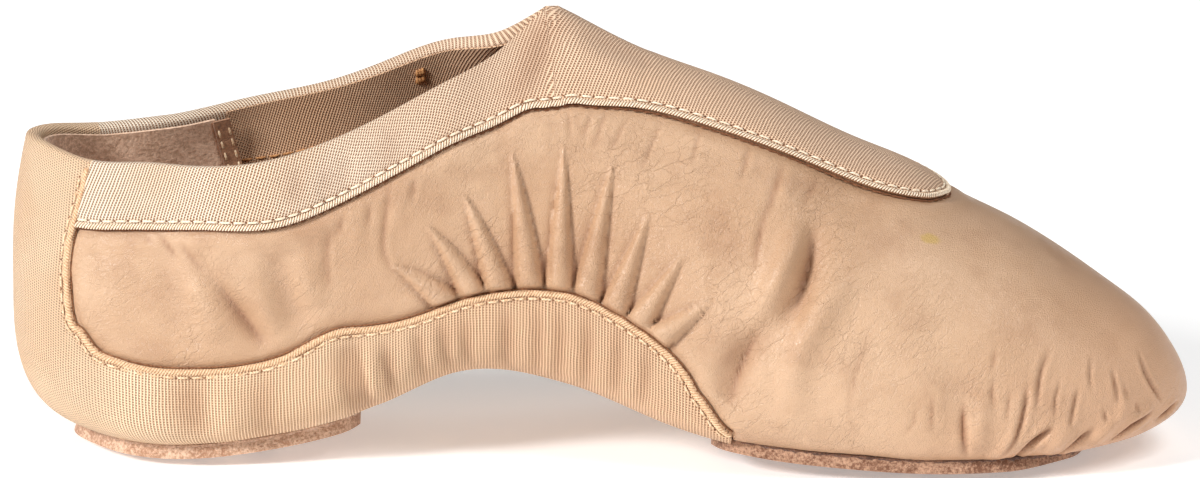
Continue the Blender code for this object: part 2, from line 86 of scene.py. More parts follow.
class Table:
    """Named columns at stations, read between the rows along a smooth curve."""

    def __init__(self, names: Sequence[str], rows: Sequence[Sequence[float]],
                 flat: Sequence[str] = ()) -> None:
        """Works out the curve's bends.

        Args:
            names: The columns' names, without the station.
            rows: A row of numbers for each station, the station first.
            flat: The columns whose curve is level at both ends.
        """
        data = np.array(rows, dtype=float)
        self.knots = np.arccos(1.0 - 2.0 * data[:, 0])
        self.columns = {name: data[:, i + 1] for i, name in enumerate(names)}
        self.bends = {name: self._bends(self.columns[name], name in flat) for name in names}

    def _bends(self, values: Array, flat_ends: bool) -> Array:
        """Solves the cubic spline's second derivatives.

        Args:
            values: The column's numbers.
            flat_ends: Whether the curve is level at both ends.

        Returns:
            One second derivative for each number.
        """
        gaps = np.diff(self.knots)
        slopes = np.diff(values) / gaps
        size = len(values)
        matrix = np.zeros((size, size))
        right = np.zeros(size)
        for i in range(1, size - 1):
            matrix[i, i - 1:i + 2] = gaps[i - 1], 2.0 * (gaps[i - 1] + gaps[i]), gaps[i]
            right[i] = 6.0 * (slopes[i] - slopes[i - 1])
        matrix[0, 0] = matrix[-1, -1] = 1.0
        if flat_ends:
            matrix[0, :2] = 2.0 * gaps[0], gaps[0]
            matrix[-1, -2:] = gaps[-1], 2.0 * gaps[-1]
            right[0] = 6.0 * slopes[0]
            right[-1] = -6.0 * slopes[-1]
        return np.linalg.solve(matrix, right)

    def read(self, name: str, station: Array | float) -> Array:
        """Reads a column.

        Args:
            name: The column's name.
            station: One station or an array of them.

        Returns:
            The column's value at each station.
        """
        angle = np.arccos(np.clip(1.0 - 2.0 * np.asarray(station, dtype=float), -1.0, 1.0))
        knots, values, bends = self.knots, self.columns[name], self.bends[name]
        angle = np.clip(angle, knots[0], knots[-1])
        i = np.clip(np.searchsorted(knots, angle, side="right") - 1, 0, len(knots) - 2)
        gap = knots[i + 1] - knots[i]
        after = (angle - knots[i]) / gap
        before = 1.0 - after
        bow = (before ** 3 - before) * bends[i] + (after ** 3 - after) * bends[i + 1]
        return before * values[i] + after * values[i + 1] + bow * gap ** 2 / 6.0


THROAT = 0.455

# Half widths at the widest level, as shares of the local width, and the middle line's swing to the outer side
OUTLINE = Table(("near", "far", "swing"), (
    (0.000, 0.000, 0.000, 0.00),
    (0.020, 0.270, 0.270, 0.00),
    (0.060, 0.415, 0.415, 0.00),
    (0.120, 0.490, 0.490, 0.00),
    (0.180, 0.505, 0.510, 0.05),
    (0.250, 0.482, 0.515, 0.12),
    (0.330, 0.425, 0.505, 0.18),
    (0.420, 0.375, 0.495, 0.20),
    (0.500, 0.375, 0.490, 0.18),
    (0.580, 0.415, 0.502, 0.12),
    (0.660, 0.458, 0.512, 0.02),
    (0.740, 0.476, 0.500, -0.12),
    (0.820, 0.456, 0.455, -0.32),
    (0.890, 0.386, 0.386, -0.58),
    (0.940, 0.296, 0.296, -0.78),
    (0.980, 0.176, 0.176, -0.94),
    (1.000, 0.000, 0.000, -1.00),
), flat=("swing",))

# Side profile: the bottom's rise under the arch and at the toe, and the widest level's height over the tip
PROFILE = Table(("arch", "toe", "widest"), (
    (0.000, 0.00, 0.00, 0.270),
    (0.030, 0.00, 0.00, 0.190),
    (0.060, 0.00, 0.00, 0.125),
    (0.120, 0.00, 0.00, 0.070),
    (0.160, 0.03, 0.00, 0.065),
    (0.210, 0.12, 0.00, 0.080),
    (0.255, 0.25, 0.00, 0.115),
    (0.290, 0.40, 0.00, 0.160),
    (0.330, 0.66, 0.00, 0.240),
    (0.370, 0.93, 0.00, 0.300),
    (0.410, 1.00, 0.00, 0.310),
    (0.450, 0.92, 0.00, 0.280),
    (0.500, 0.70, 0.00, 0.210),
    (0.545, 0.44, 0.00, 0.140),
    (0.590, 0.24, 0.00, 0.090),
    (0.640, 0.11, 0.00, 0.055),
    (0.700, 0.05, 0.00, 0.030),
    (0.760, 0.00, 0.00, 0.020),
    (0.850, 0.00, 0.00, 0.012),
    (0.910, 0.00, 0.05, 0.010),
    (0.950, 0.00, 0.17, 0.006),
    (0.980, 0.00, 0.42, 0.002),
    (1.000, 0.00, 1.00, 0.000),
), flat=("arch",))

# Collar: how far its edge lies ahead of the station, its half width, height and inward lean in degrees
COLLAR = Table(("ahead", "half", "height", "lean"), (
    (0.000, 0.0120, 0.000, 1.000, 12.0),
    (0.020, 0.0120, 0.175, 0.988, 14.0),
    (0.060, 0.0100, 0.290, 0.966, 16.0),
    (0.120, 0.0060, 0.362, 0.974, 18.0),
    (0.160, 0.0020, 0.448, 0.966, 18.0),
    (0.210, 0.0000, 0.512, 0.938, 18.0),
    (0.260, 0.0000, 0.470, 0.910, 22.0),
    (0.310, 0.0000, 0.412, 0.900, 30.0),
    (0.370, 0.0000, 0.304, 0.906, 42.0),
    (0.415, 0.0000, 0.125, 0.917, 60.0),
    (THROAT, 0.0000, 0.000, 0.982, 88.0),
))

# Ridge of the vamp: its height as a share of the way from the toe's tip up to the instep
RIDGE = Table(("height",), (
    (THROAT, 0.982), (0.49, 0.924), (0.545, 0.842), (0.59, 0.791), (0.64, 0.727), (0.715, 0.618),
    (0.76, 0.562), (0.8, 0.498), (0.85, 0.427), (0.89, 0.356), (0.93, 0.274), (0.96, 0.207), (0.982, 0.13),
    (0.994, 0.07), (1.0, 0.0),
))

# How full the wall is: the pulls of its curves at the widest level, under the foot and at the top
FULLNESS = Table(("side_down", "under", "side_up", "top"), (
    (0.000, 0.74, 0.74, 0.40, 0.45),
    (0.060, 0.80, 0.86, 0.42, 0.42),
    (0.120, 0.84, 0.92, 0.44, 0.40),
    (0.250, 0.80, 0.86, 0.44, 0.40),
    (0.400, 0.74, 0.76, 0.44, 0.40),
    (THROAT, 0.72, 0.76, 0.45, 0.42),
    (0.540, 0.74, 0.80, 0.52, 0.50),
    (0.700, 0.84, 0.92, 0.58, 0.54),
    (0.850, 0.84, 0.90, 0.60, 0.56),
    (1.000, 0.70, 0.70, 0.56, 0.58),
), flat=("side_down", "under", "side_up", "top"))

# Stitched edge of the collar gore: its girth on the wall
GORE_START = 0.046
GORE_END = 0.7935
GORE_EDGE = Table(("girth",), (
    (GORE_START, 1.697), (0.08, 1.722), (0.12, 1.733), (0.164, 1.743), (0.228, 1.719), (0.286, 1.73),
    (0.344, 1.717), (0.378, 1.711), (0.42, 1.66), (0.446, 1.606), (0.466, 1.592), (0.484, 1.606),
    (0.53, 1.679), (0.592, 1.713), (0.644, 1.728), (0.69, 1.743), (0.735, 1.752), (0.768, 1.796),
    (0.786, 1.876), (GORE_END, 1.94),
))

# Stitched edge of the heel and arch panel along the quarter: its girth on the wall
PANEL_START = 0.0435
PANEL_FRONT = 0.610
PANEL_EDGE = Table(("girth",), (
    (PANEL_START, 1.459), (0.0465, 1.275), (0.054, 1.178), (0.066, 1.126), (0.083, 1.103), (0.11, 1.096),
    (0.15, 1.096), (0.205, 1.104), (0.232, 1.121), (0.254, 1.15), (0.27, 1.162), (0.29, 1.139),
    (0.314, 1.096), (0.344, 1.062), (0.366, 1.062), (0.41, 1.084), (0.452, 1.104), (0.49, 1.112),
    (0.516, 1.104), (0.558, 1.066), (0.574, 1.028), (0.586, 0.958), (0.596, 0.832), (0.603, 0.735),
    (PANEL_FRONT, 0.67),
))

# Upright edge of the counter: its station at each girth, keyed by half the girth
COUNTER_CORNER = 1.459
COUNTER_EDGE = Table(("station",), (
    (0.73, 0.0435), (0.79, 0.0441), (0.848, 0.0462), (0.88, 0.0481), (0.94, 0.0516), (1.0, 0.056),
))

# Outlines of the pads and the insole: how far they reach from the middle line, in girth
HEEL_PAD_END = 0.287
HEEL_PAD_EDGE = Table(("girth",), (
    (0.0, 0.29), (0.03, 0.33), (0.08, 0.4), (0.15, 0.44), (0.22, 0.43), (0.26, 0.39), (0.277, 0.33),
    (HEEL_PAD_END, 0.22),
))
BALL_PAD_START = 0.595
BALL_PAD_END = 0.911
BALL_PAD_EDGE = Table(("girth",), (
    (BALL_PAD_START, 0.3), (0.607, 0.43), (0.63, 0.5), (0.7, 0.53), (0.8, 0.55), (0.855, 0.53),
    (0.89, 0.44), (0.904, 0.33), (BALL_PAD_END, 0.18),
))
INSOLE_END = 0.965
INSOLE_EDGE = Table(("girth",), (
    (0.0, 0.18), (0.06, 0.28), (0.15, 0.33), (0.4, 0.36), (0.6, 0.34), (0.8, 0.38), (0.92, 0.32),
    (INSOLE_END, 0.16),
))


def smoothstep(low: float, high: float, value: Array | float) -> Array:
    """Blends evenly from 0 under low to 1 over high.

    Args:
        low: Where the blend starts.
        high: Where it ends.
        value: One number or an array.

    Returns:
        The blend at each number.
    """
    share = np.clip((np.asarray(value, dtype=float) - low) / (high - low), 0.0, 1.0)
    return share * share * (3.0 - 2.0 * share)


def stacked(x: Array, y: Array, z: Array) -> Array:
    """Joins three arrays of coordinates into points."""
    return np.stack(np.broadcast_arrays(x, y, z), axis=-1)


def unit(vectors: Array) -> Array:
    """Scales vectors to a length of one."""
    return vectors / np.maximum(np.linalg.norm(vectors, axis=-1), 1e-15)[..., None]


def bezier(first: Array, second: Array, third: Array, fourth: Array, share: Array) -> Array:
    """Points on a cubic curve at a share of its way."""
    s = share[..., None]
    r = 1.0 - s
    return r ** 3 * first + 3.0 * r * r * s * second + 3.0 * r * s * s * third + s ** 3 * fourth


def shares(steps: int) -> Array:
    """Even shares from 0 to 1."""
    return np.linspace(0.0, 1.0, steps + 1)


def oval(wide: float, tall: float, sides: int, middle: Pair = (0.0, 0.0)) -> list[Pair]:
    """Points of an oval with two half sizes round a middle."""
    angles = np.linspace(0.0, 2.0 * math.pi, sides, endpoint=False)
    return [(middle[0] + wide * math.cos(a), middle[1] + tall * math.sin(a)) for a in angles]


def run_length(places: Array) -> Array:
    """The length along a line of points, from its first point to each."""
    return np.concatenate([[0.0], np.cumsum(np.linalg.norm(np.diff(places, axis=0), axis=-1))])


@dataclass
class Last:
    """The surface that every piece follows, from the same sizes as the solids."""

    length: float = 0.245
    ball_width: float = 0.082
    heel_width: float = 0.056
    instep_height: float = 0.0933
    heel_height: float = 0.0653
    collar_width: float = 0.054
    arch_height: float = 0.0155
    tip_height: float = 0.0125
    toe_swing: float = 0.0060
    wall: float = 0.0012
    cloth: float = 0.0010
    gap: float = 0.0003
    pad_thickness: float = 0.0026
    pad_wear: float = 0.0004
    insole_thickness: float = 0.0018
    insole_clearance: float = 0.0005
    heel_fan: float = 0.110
    heel_opening_end: float = 0.235
    heel_opening_girth: float = 0.22
    ball_opening: Pair = (0.660, 0.915)
    ball_opening_girth: float = 0.30
    width_change: Pair = (0.15, 0.60)
    rim_rise_start: float = 0.12
    throat_blur: float = 0.016
    throat_spread: float = 2.2
    throat_top: Pair = (1.72, 1.98)
    shift: Array = field(default_factory=lambda: np.zeros(3))

    def __post_init__(self) -> None:
        """Sets the last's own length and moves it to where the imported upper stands."""
        self.reach = self.length - self.cloth - self.gap
        low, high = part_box("upper")
        station = np.linspace(0.0, 1.0, 500)
        near = self.point(Side.NEAR, station, 1.0)
        far = self.point(Side.FAR, station, 1.0)
        sideways = 0.5 * ((low.y - near[:, 1].min()) + (high.y - far[:, 1].max()))
        self.shift = np.array([low.x - near[:, 0].min(), sideways, 0.0])

    def bottom_height(self, station: Array) -> Array:
        """Height of the upper's bottom on the middle line.

        Args:
            station: Stations.

        Returns:
            The height at each station.
        """
        under_heel = (self.cloth + self.gap) * (1.0 - smoothstep(HEEL_PAD_END, BALL_PAD_START, station))
        floor = self.pad_thickness + self.gap - self.pad_wear + under_heel
        toe = PROFILE.read("toe", station) * (self.tip_height - floor)
        return floor + PROFILE.read("arch", station) * self.arch_height + toe

    def point(self, side: Side, station: Array | float, girth: Array | float) -> Array:
        """Places on the outside of the last, with the corner below the throat softened.

        Args:
            side: The side of the foot.
            station: Stations.
            girth: Girths, of the same shape.

        Returns:
            Points in the shoe's frame.
        """
        station, girth = np.broadcast_arrays(np.asarray(station, float), np.asarray(girth, float))
        places = self.hard_point(side, station, girth)
        reach = self.throat_spread * self.throat_blur
        spread = self.throat_blur * np.exp(-((station - THROAT) / reach) ** 2)
        spread = spread * (1.0 - smoothstep(*self.throat_top, girth))
        near = spread > 1e-4
        if near.any():
            s, g, d = station[near], girth[near], spread[near]
            steps = ((-2.0, 0.12), (-1.0, 0.23), (0.0, 0.30), (1.0, 0.23), (2.0, 0.12))
            places[near] = sum(share * self.hard_point(side, s + step * d, g) for step, share in steps)
        return places

    def hard_point(self, side: Side, station: Array, girth: Array) -> Array:
        """Places on the last as its tables give them.

        Args:
            side: The side of the foot.
            station: Stations.
            girth: Girths, of the same shape.

        Returns:
            Points in the shoe's frame.
        """
        blend = smoothstep(*self.width_change, station)
        width = self.heel_width * (1.0 - blend) + self.ball_width * blend
        column = "near" if side is Side.NEAR else "far"
        half = OUTLINE.read(column, station) * width
        centre = OUTLINE.read("swing", station) * self.toe_swing
        widest_height = self.tip_height + PROFILE.read("widest", station) * self.heel_height
        under_ahead = self.heel_fan * (1.0 - smoothstep(0.0, 2.0 * self.heel_fan, station))
        under = stacked((station + under_ahead) * self.reach, centre, self.bottom_height(station))
        widest = stacked(station * self.reach, centre + side.value * half, widest_height)

        open_top = station < THROAT
        rise = smoothstep(self.rim_rise_start, THROAT, station)
        height = self.heel_height * (1.0 - rise) + self.instep_height * rise
        rim_half = np.clip(COLLAR.read("half", station), 0.0, None) * self.collar_width
        rim = stacked((station + COLLAR.read("ahead", station)) * self.reach, centre + side.value * rim_half,
                      COLLAR.read("height", station) * height)
        vamp_height = self.instep_height - self.tip_height
        ridge_height = self.tip_height + RIDGE.read("height", station) * vamp_height
        ridge = stacked(station * self.reach, centre, ridge_height)
        top = np.where(open_top[..., None], rim, ridge)
        lean = np.radians(np.where(open_top, COLLAR.read("lean", station), 90.0))
        inward = top - widest
        inward[..., 2] = 0.0
        across = np.linalg.norm(inward, axis=-1)
        direction = inward / np.maximum(across, 1e-9)[..., None] * np.sin(lean)[..., None]
        direction[..., 2] = np.cos(lean)

        up = np.array((0.0, 0.0, 1.0))
        drop = (widest - under)[..., 2]
        outward = widest - under
        outward[..., 2] = 0.0
        under_pull = under + outward * FULLNESS.read("under", station)[..., None]
        down_pull = widest - up * (drop * FULLNESS.read("side_down", station))[..., None]
        lower = bezier(under, under_pull, down_pull, widest, np.clip(girth, 0.0, 1.0))

        lift = (top - widest)[..., 2]
        up_pull = widest + up * (lift * FULLNESS.read("side_up", station))[..., None]
        pull = FULLNESS.read("top", station) * (across * np.sin(lean) + lift * np.cos(lean))
        top_pull = top - direction * pull[..., None]
        upper = bezier(widest, up_pull, top_pull, top, np.clip(girth - 1.0, 0.0, 1.0))
        return np.where((girth < 1.0)[..., None], lower, upper) + self.shift

    def normal(self, side: Side, station: Array | float, girth: Array | float) -> Array:
        """Outward unit normals of the last.

        Args:
            side: The side of the foot.
            station: Stations.
            girth: Girths, of the same shape.

        Returns:
            One normal for each place.
        """
        station, girth = np.broadcast_arrays(np.asarray(station, float), np.asarray(girth, float))
        step = 1e-4
        ahead = self.point(side, np.clip(station + step, 0.0, 1.0), girth)
        behind = self.point(side, np.clip(station - step, 0.0, 1.0), girth)
        above = self.point(side, station, np.clip(girth + step, 0.0, 2.0))
        below = self.point(side, station, np.clip(girth - step, 0.0, 2.0))
        normal = unit(np.cross(above - below, ahead - behind) * side.value)
        tip = np.zeros_like(normal)
        tip[..., 0] = 1.0
        normal = np.where((station > 1.0 - 1e-6)[..., None], tip, normal)
        shared = (girth < 1e-6) | ((girth > 2.0 - 1e-6) & (station >= THROAT)) | (station < 1e-6)
        flat = normal.copy()
        flat[..., 1] = 0.0
        return np.where(shared[..., None], unit(flat), normal)

    def laid(self, side: Side, station: Array, girth: Array, lift: Array | float) -> Array:
        """Places at a height over the last, or under it where the lift is negative.

        Args:
            side: The side of the foot.
            station: Stations.
            girth: Girths, of the same shape.
            lift: The height, in metres.

        Returns:
            Points in the shoe's frame.
        """
        shape = np.broadcast_shapes(np.shape(station), np.shape(girth))
        height = np.broadcast_to(np.asarray(lift, float), shape)
        return self.point(side, station, girth) + self.normal(side, station, girth) * height[..., None]

    def columns(self, first: float, last: float, cells: Pairs | float) -> Array:
        """Stations whose spacing along the outline follows a wanted cell size.

        Args:
            first: The first station.
            last: The last station.
            cells: The cell size, or pairs of a station and the cell size wanted there, in metres.

        Returns:
            Rising stations, with one on the throat where they pass it.
        """
        fine = 0.5 * (1.0 - np.cos(math.pi * shares(4000)))
        length = run_length(self.point(Side.NEAR, fine, 1.0))
        wanted = ((0.0, cells),) if isinstance(cells, float) else cells
        size = np.interp(fine, *np.transpose(wanted))
        weight = np.concatenate([[0.0], np.cumsum(np.diff(length) / size[1:])])
        low, high = np.interp((first, last), fine, weight)
        even = np.linspace(low, high, int(math.ceil(high - low)) + 1)
        found = np.interp(even, weight, fine)
        found[0], found[-1] = first, last
        if first < THROAT < last:
            found[np.argmin(abs(found - THROAT))] = THROAT
        return found

    def opening_girth(self, station: Array) -> Array:
        """Girth of the edge of the cut-outs under heel and forefoot.

        Args:
            station: Stations.

        Returns:
            The girth at each station, 0 where the bottom is whole.
        """
        heel = np.sqrt(np.clip(1.0 - (station / self.heel_opening_end) ** 2, 0.0, 1.0))
        start, end = self.ball_opening
        way = (station - start) / (end - start)
        ball = np.sqrt(np.clip(4.0 * way * (1.0 - way), 0.0, 1.0))
        return self.heel_opening_girth * heel + self.ball_opening_girth * ball


@dataclass(frozen=True)
class Line:
    """A line of points in the shoe's frame, with its outward normals."""

    places: Array
    normals: Array

    @staticmethod
    def on_last(last: Last, way: Sequence[Spot], step: float) -> "Line":
        """Lays a line over places of the last and spaces its points evenly.

        Args:
            last: The last.
            way: Side, station and girth of each place, in order and close together.
            step: The wanted distance between points, in metres.

        Returns:
            The line.
        """
        places = np.array([last.point(side, s, g) for side, s, g in way])
        normals = np.array([last.normal(side, s, g) for side, s, g in way])
        length = run_length(places)
        even = np.linspace(0.0, length[-1], max(3, int(round(length[-1] / step)) + 1))
        spread = [np.stack([np.interp(even, length, part[:, k]) for k in range(3)], axis=-1)
                  for part in (places, normals)]
        return Line(spread[0], unit(spread[1]))

    def tangents(self) -> Array:
        """Unit vectors along the line."""
        return unit(np.gradient(self.places, axis=0))

    def across(self) -> Array:
        """Unit vectors along the surface, into the cloth that the line bounds."""
        return unit(np.cross(self.normals, self.tangents()))

    def moved(self, inward: float, lift: float) -> "Line":
        """The line moved into the cloth and up from it."""
        return Line(self.places + self.across() * inward + self.normals * lift, self.normals)

    def distance(self, places: Array, longest: float) -> tuple[Array, Array]:
        """How far points lie from the line.

        Args:
            places: Points, in any shape of array.
            longest: Distances beyond this one aren't worked out.

        Returns:
            The distances, and the share of the line's way at the nearest place.
        """
        points = places.reshape(-1, 3)
        best = np.full(len(points), longest)
        share = np.zeros(len(points))
        low, high = self.places.min(axis=0) - longest, self.places.max(axis=0) + longest
        inside = np.flatnonzero(((points > low) & (points < high)).all(axis=1))
        chosen = points[inside]
        near, at = best[inside], share[inside]
        spans = np.diff(self.places, axis=0)
        for i, span in enumerate(spans):
            way = np.clip((chosen - self.places[i]) @ span / max(float(span @ span), 1e-18), 0.0, 1.0)
            apart = np.linalg.norm(chosen - self.places[i] - way[:, None] * span, axis=1)
            closer = apart < near
            near = np.where(closer, apart, near)
            at = np.where(closer, (i + way) / len(spans), at)
        best[inside], share[inside] = near, at
        return best.reshape(places.shape[:-1]), share.reshape(places.shape[:-1])


@dataclass(frozen=True)
class Fold:
    """A fold laid along places of the last. A negative rise is a trough."""

    kind: FoldKind
    way: Pairs
    width: float
    rise: float
    side: Side = Side.NEAR

    def line(self, last: Last, spans: int = 12) -> Line:
        """The fold's own line, rounded at its bends.

        Args:
            last: The last.
            spans: How many straight spans the line has.

        Returns:
            The line.
        """
        stations, girths = np.array(self.way, dtype=float).T
        even = np.linspace(0.0, len(self.way) - 1.0, spans + 1)
        track = np.stack([np.interp(even, np.arange(len(self.way)), part) for part in (stations, girths)])
        for _ in range(2):
            track[:, 1:-1] = 0.25 * track[:, :-2] + 0.5 * track[:, 1:-1] + 0.25 * track[:, 2:]
        places = last.point(self.side, track[0], track[1])
        return Line(places, last.normal(self.side, track[0], track[1]))

    def height(self, last: Last, places: Array) -> Array:
        """How far the fold lifts each point of its side.

        Args:
            last: The last.
            places: Points on the last.

        Returns:
            The lift of each point, in metres.
        """
        reach = 4.5 * self.width
        apart, share = self.line(last).distance(places, reach)
        near = apart < reach
        if self.kind is FoldKind.TUBE:
            half = self.width * np.clip(1.0 - share, 0.05, 1.0) ** 0.86
            tall = self.rise * np.clip(1.0 - share, 0.0, 1.0) ** 0.72
            round_back = np.clip(1.0 - (apart / half) ** 2, 0.0, 1.0) ** 0.72
            crease = np.exp(-((apart - 1.06 * half) / (0.26 * self.width)) ** 2)
            return near * (tall * round_back - 0.17 * tall * crease)
        taper = np.sin(math.pi * np.clip(share, 0.02, 0.98)) ** 0.7
        if self.kind is FoldKind.SOFT:
            return near * self.rise * taper * np.exp(-(apart / self.width) ** 2)
        trough = np.exp(-(apart / self.width) ** 1.25)
        shoulder = np.exp(-((apart - 2.1 * self.width) / (1.2 * self.width)) ** 2)
        return near * self.rise * taper * (trough - 0.38 * shoulder)


class Unrolled:
    """Flat cloth coordinates of one side of the last, in metres."""

    def __init__(self, last: Last, side: Side) -> None:
        """Measures the side along its stations and around its girths.

        Args:
            last: The last.
            side: The side of the foot.
        """
        self.stations = 0.5 * (1.0 - np.cos(math.pi * shares(300)))
        self.girths = np.linspace(0.0, 2.0, 161)
        places = last.point(side, self.stations[:, None], self.girths[None, :])
        level = int(np.argmin(abs(self.girths - 1.3)))
        self.along = run_length(places[:, level])
        steps = np.linalg.norm(np.diff(places, axis=1), axis=-1)
        around = np.concatenate([np.zeros((len(self.stations), 1)), np.cumsum(steps, axis=1)], axis=1)
        self.around = around - around[:, [int(np.argmin(abs(self.girths - 1.0)))]]

    def read(self, station: Array, girth: Array) -> Array:
        """Reads the coordinates of places.

        Args:
            station: Stations.
            girth: Girths, of the same shape.

        Returns:
            Pairs of a length along the shoe and a length around it.
        """
        column = np.interp(station, self.stations, np.arange(len(self.stations)))
        row = np.interp(girth, self.girths, np.arange(len(self.girths)))
        i = np.clip(column.astype(int), 0, len(self.stations) - 2)
        j = np.clip(row.astype(int), 0, len(self.girths) - 2)
        a, b = column - i, row - j
        low = self.around[i, j] * (1.0 - b) + self.around[i, j + 1] * b
        high = self.around[i + 1, j] * (1.0 - b) + self.around[i + 1, j + 1] * b
        return np.stack([np.interp(station, self.stations, self.along), low * (1.0 - a) + high * a], axis=-1)


class Bench:
    """Makes and finishes meshes with Blender's operators."""

    @staticmethod
    def clear() -> None:
        """Leaves object mode with nothing selected."""
        if bpy.context.object is not None and bpy.context.object.mode != "OBJECT":
            bpy.ops.object.mode_set(mode="OBJECT")
        bpy.ops.object.select_all(action="DESELECT")

    @staticmethod
    def choose(piece: Piece) -> None:
        """Makes a piece the only one selected, and the active one."""
        Bench.clear()
        piece.select_set(True)
        bpy.context.view_layer.objects.active = piece

    @staticmethod
    def lay_grid(name: str, places: Array, cloth: Array, depth: Array | None = None) -> Piece:
        """Adds a grid and lays its points on the last.

        Args:
            name: The piece's name.
            places: Points, columns by rows. Faces look along column direction times row direction.
            cloth: The UV coordinates of the same points.
            depth: How deep in a crease each point lies, from 0 to 1.

        Returns:
            The new mesh object.
        """
        columns, rows = places.shape[:2]
        Bench.clear()
        bpy.ops.mesh.primitive_grid_add(x_subdivisions=columns - 1, y_subdivisions=rows - 1, size=1.0)
        piece = bpy.context.object
        piece.name = piece.data.name = name
        mesh = piece.data
        flat = np.empty(len(mesh.vertices) * 3, np.float32)
        mesh.vertices.foreach_get("co", flat)
        at = flat.reshape(-1, 3)[:, :2] + 0.5
        i = np.rint(at[:, 0] * (columns - 1)).astype(int)
        j = np.rint(at[:, 1] * (rows - 1)).astype(int)
        mesh.vertices.foreach_set("co", places[i, j].astype(np.float32).ravel())
        corners = np.empty(len(mesh.loops), np.int32)
        mesh.loops.foreach_get("vertex_index", corners)
        mesh.uv_layers.active.data.foreach_set("uv", cloth[i, j][corners].astype(np.float32).ravel())
        creases = mesh.attributes.new(CREASE, "FLOAT", "POINT")
        amounts = np.zeros(len(i)) if depth is None else np.clip(depth, 0.0, 1.0)[i, j]
        creases.data.foreach_set("value", amounts.astype(np.float32))
        mesh.update()
        return piece

    @staticmethod
    def lay_side(name: str, side: Side, places: Array, cloth: Array,
                 depth: Array | None = None) -> Piece:
        """Lays a grid of one side of the foot with its faces outwards.

        Args:
            name: The piece's name.
            side: The side of the foot.
            places: Points, stations by girths.
            cloth: The UV coordinates of the same points.
            depth: How deep in a crease each point lies, from 0 to 1.

        Returns:
            The new mesh object.
        """
        if side is Side.FAR:
            places, cloth = places[:, ::-1], cloth[:, ::-1]
            depth = None if depth is None else depth[:, ::-1]
        return Bench.lay_grid(name, places, cloth, depth)

    @staticmethod
    def lay_sides(name: str, last: Last, station: Array, girth: Array, lift: float) -> Piece:
        """Lays one sheet on both sides of the foot, at an even height over the last.

        Args:
            name: The piece's name.
            last: The last.
            station: Stations of the grid.
            girth: Girths of the grid.
            lift: The height, or a depth where it is negative.

        Returns:
            The new mesh object.
        """
        sheets = []
        for side in Side:
            places = last.laid(side, station, girth, lift)
            cloth = Unrolled(last, side).read(station, girth)
            sheets.append(Bench.lay_side(name, side, places, cloth))
        return Bench.join(name, sheets)

    @staticmethod
    def join(name: str, pieces: Sequence[Piece], weld: float = 2e-5) -> Piece:
        """Joins meshes and welds the points that meet.

        Args:
            name: The joined piece's name.
            pieces: The meshes.
            weld: The distance under which points become one, or 0 to leave them.

        Returns:
            The joined mesh object.
        """
        Bench.clear()
        for piece in pieces:
            piece.select_set(True)
        bpy.context.view_layer.objects.active = pieces[0]
        if len(pieces) > 1:
            bpy.ops.object.join()
        joined = bpy.context.object
        joined.name = joined.data.name = name
        if weld > 0.0:
            bpy.ops.object.mode_set(mode="EDIT")
            bpy.ops.mesh.select_all(action="SELECT")
            bpy.ops.mesh.remove_doubles(threshold=weld)
            bpy.ops.object.mode_set(mode="OBJECT")
        return joined

    @staticmethod
    def thicken(piece: Piece, thickness: float, outward: float = -1.0, inner_slot: int = 0,
                group: str = "") -> None:
        """Gives a sheet its thickness.

        Args:
            piece: The sheet.
            thickness: In metres.
            outward: -1 grows it inwards, 1 outwards.
            inner_slot: How many material slots the new sheet lies after the first one.
            group: A vertex group whose weights scale the thickness.
        """
        Bench.choose(piece)
        wall = piece.modifiers.new("wall", "SOLIDIFY")
        wall.thickness = thickness
        wall.offset = outward
        wall.material_offset = inner_slot
        wall.vertex_group = group
        bpy.ops.object.modifier_apply(modifier=wall.name)

    @staticmethod
    def smooth(piece: Piece, angle: float = 50.0) -> None:
        """Shades a piece smooth up to edges of an angle in degrees."""
        Bench.choose(piece)
        bpy.ops.object.shade_smooth_by_angle(angle=math.radians(angle))

    @staticmethod
    def points(piece: Piece) -> Array:
        """The mesh's points."""
        flat = np.empty(len(piece.data.vertices) * 3, np.float32)
        piece.data.vertices.foreach_get("co", flat)
        return flat.reshape(-1, 3).astype(float)

    @staticmethod
    def set_points(piece: Piece, places: Array) -> None:
        """Moves the mesh's points."""
        piece.data.vertices.foreach_set("co", places.astype(np.float32).ravel())
        piece.data.update()

    @staticmethod
    def dress(piece: Piece, finishes: Sequence[Material], slot: str,
              stands_for: str | None = None) -> None:
        """Gives a piece its materials and its place in the shoe, and reports it.

        Args:
            piece: The finished mesh.
            finishes: Its materials, the outer one first.
            slot: The record's material slot. Not used.
            stands_for: The solid that it replaces.
        """
        piece.data.materials.clear()
        for finish in finishes:
            piece.data.materials.append(finish)
        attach(piece, BODY)
        if stands_for is not None:
            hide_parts(stands_for)
        triangles = sum(len(face.vertices) - 2 for face in piece.data.polygons)
        LOG.info("%s: %d triangles", piece.name, triangles)


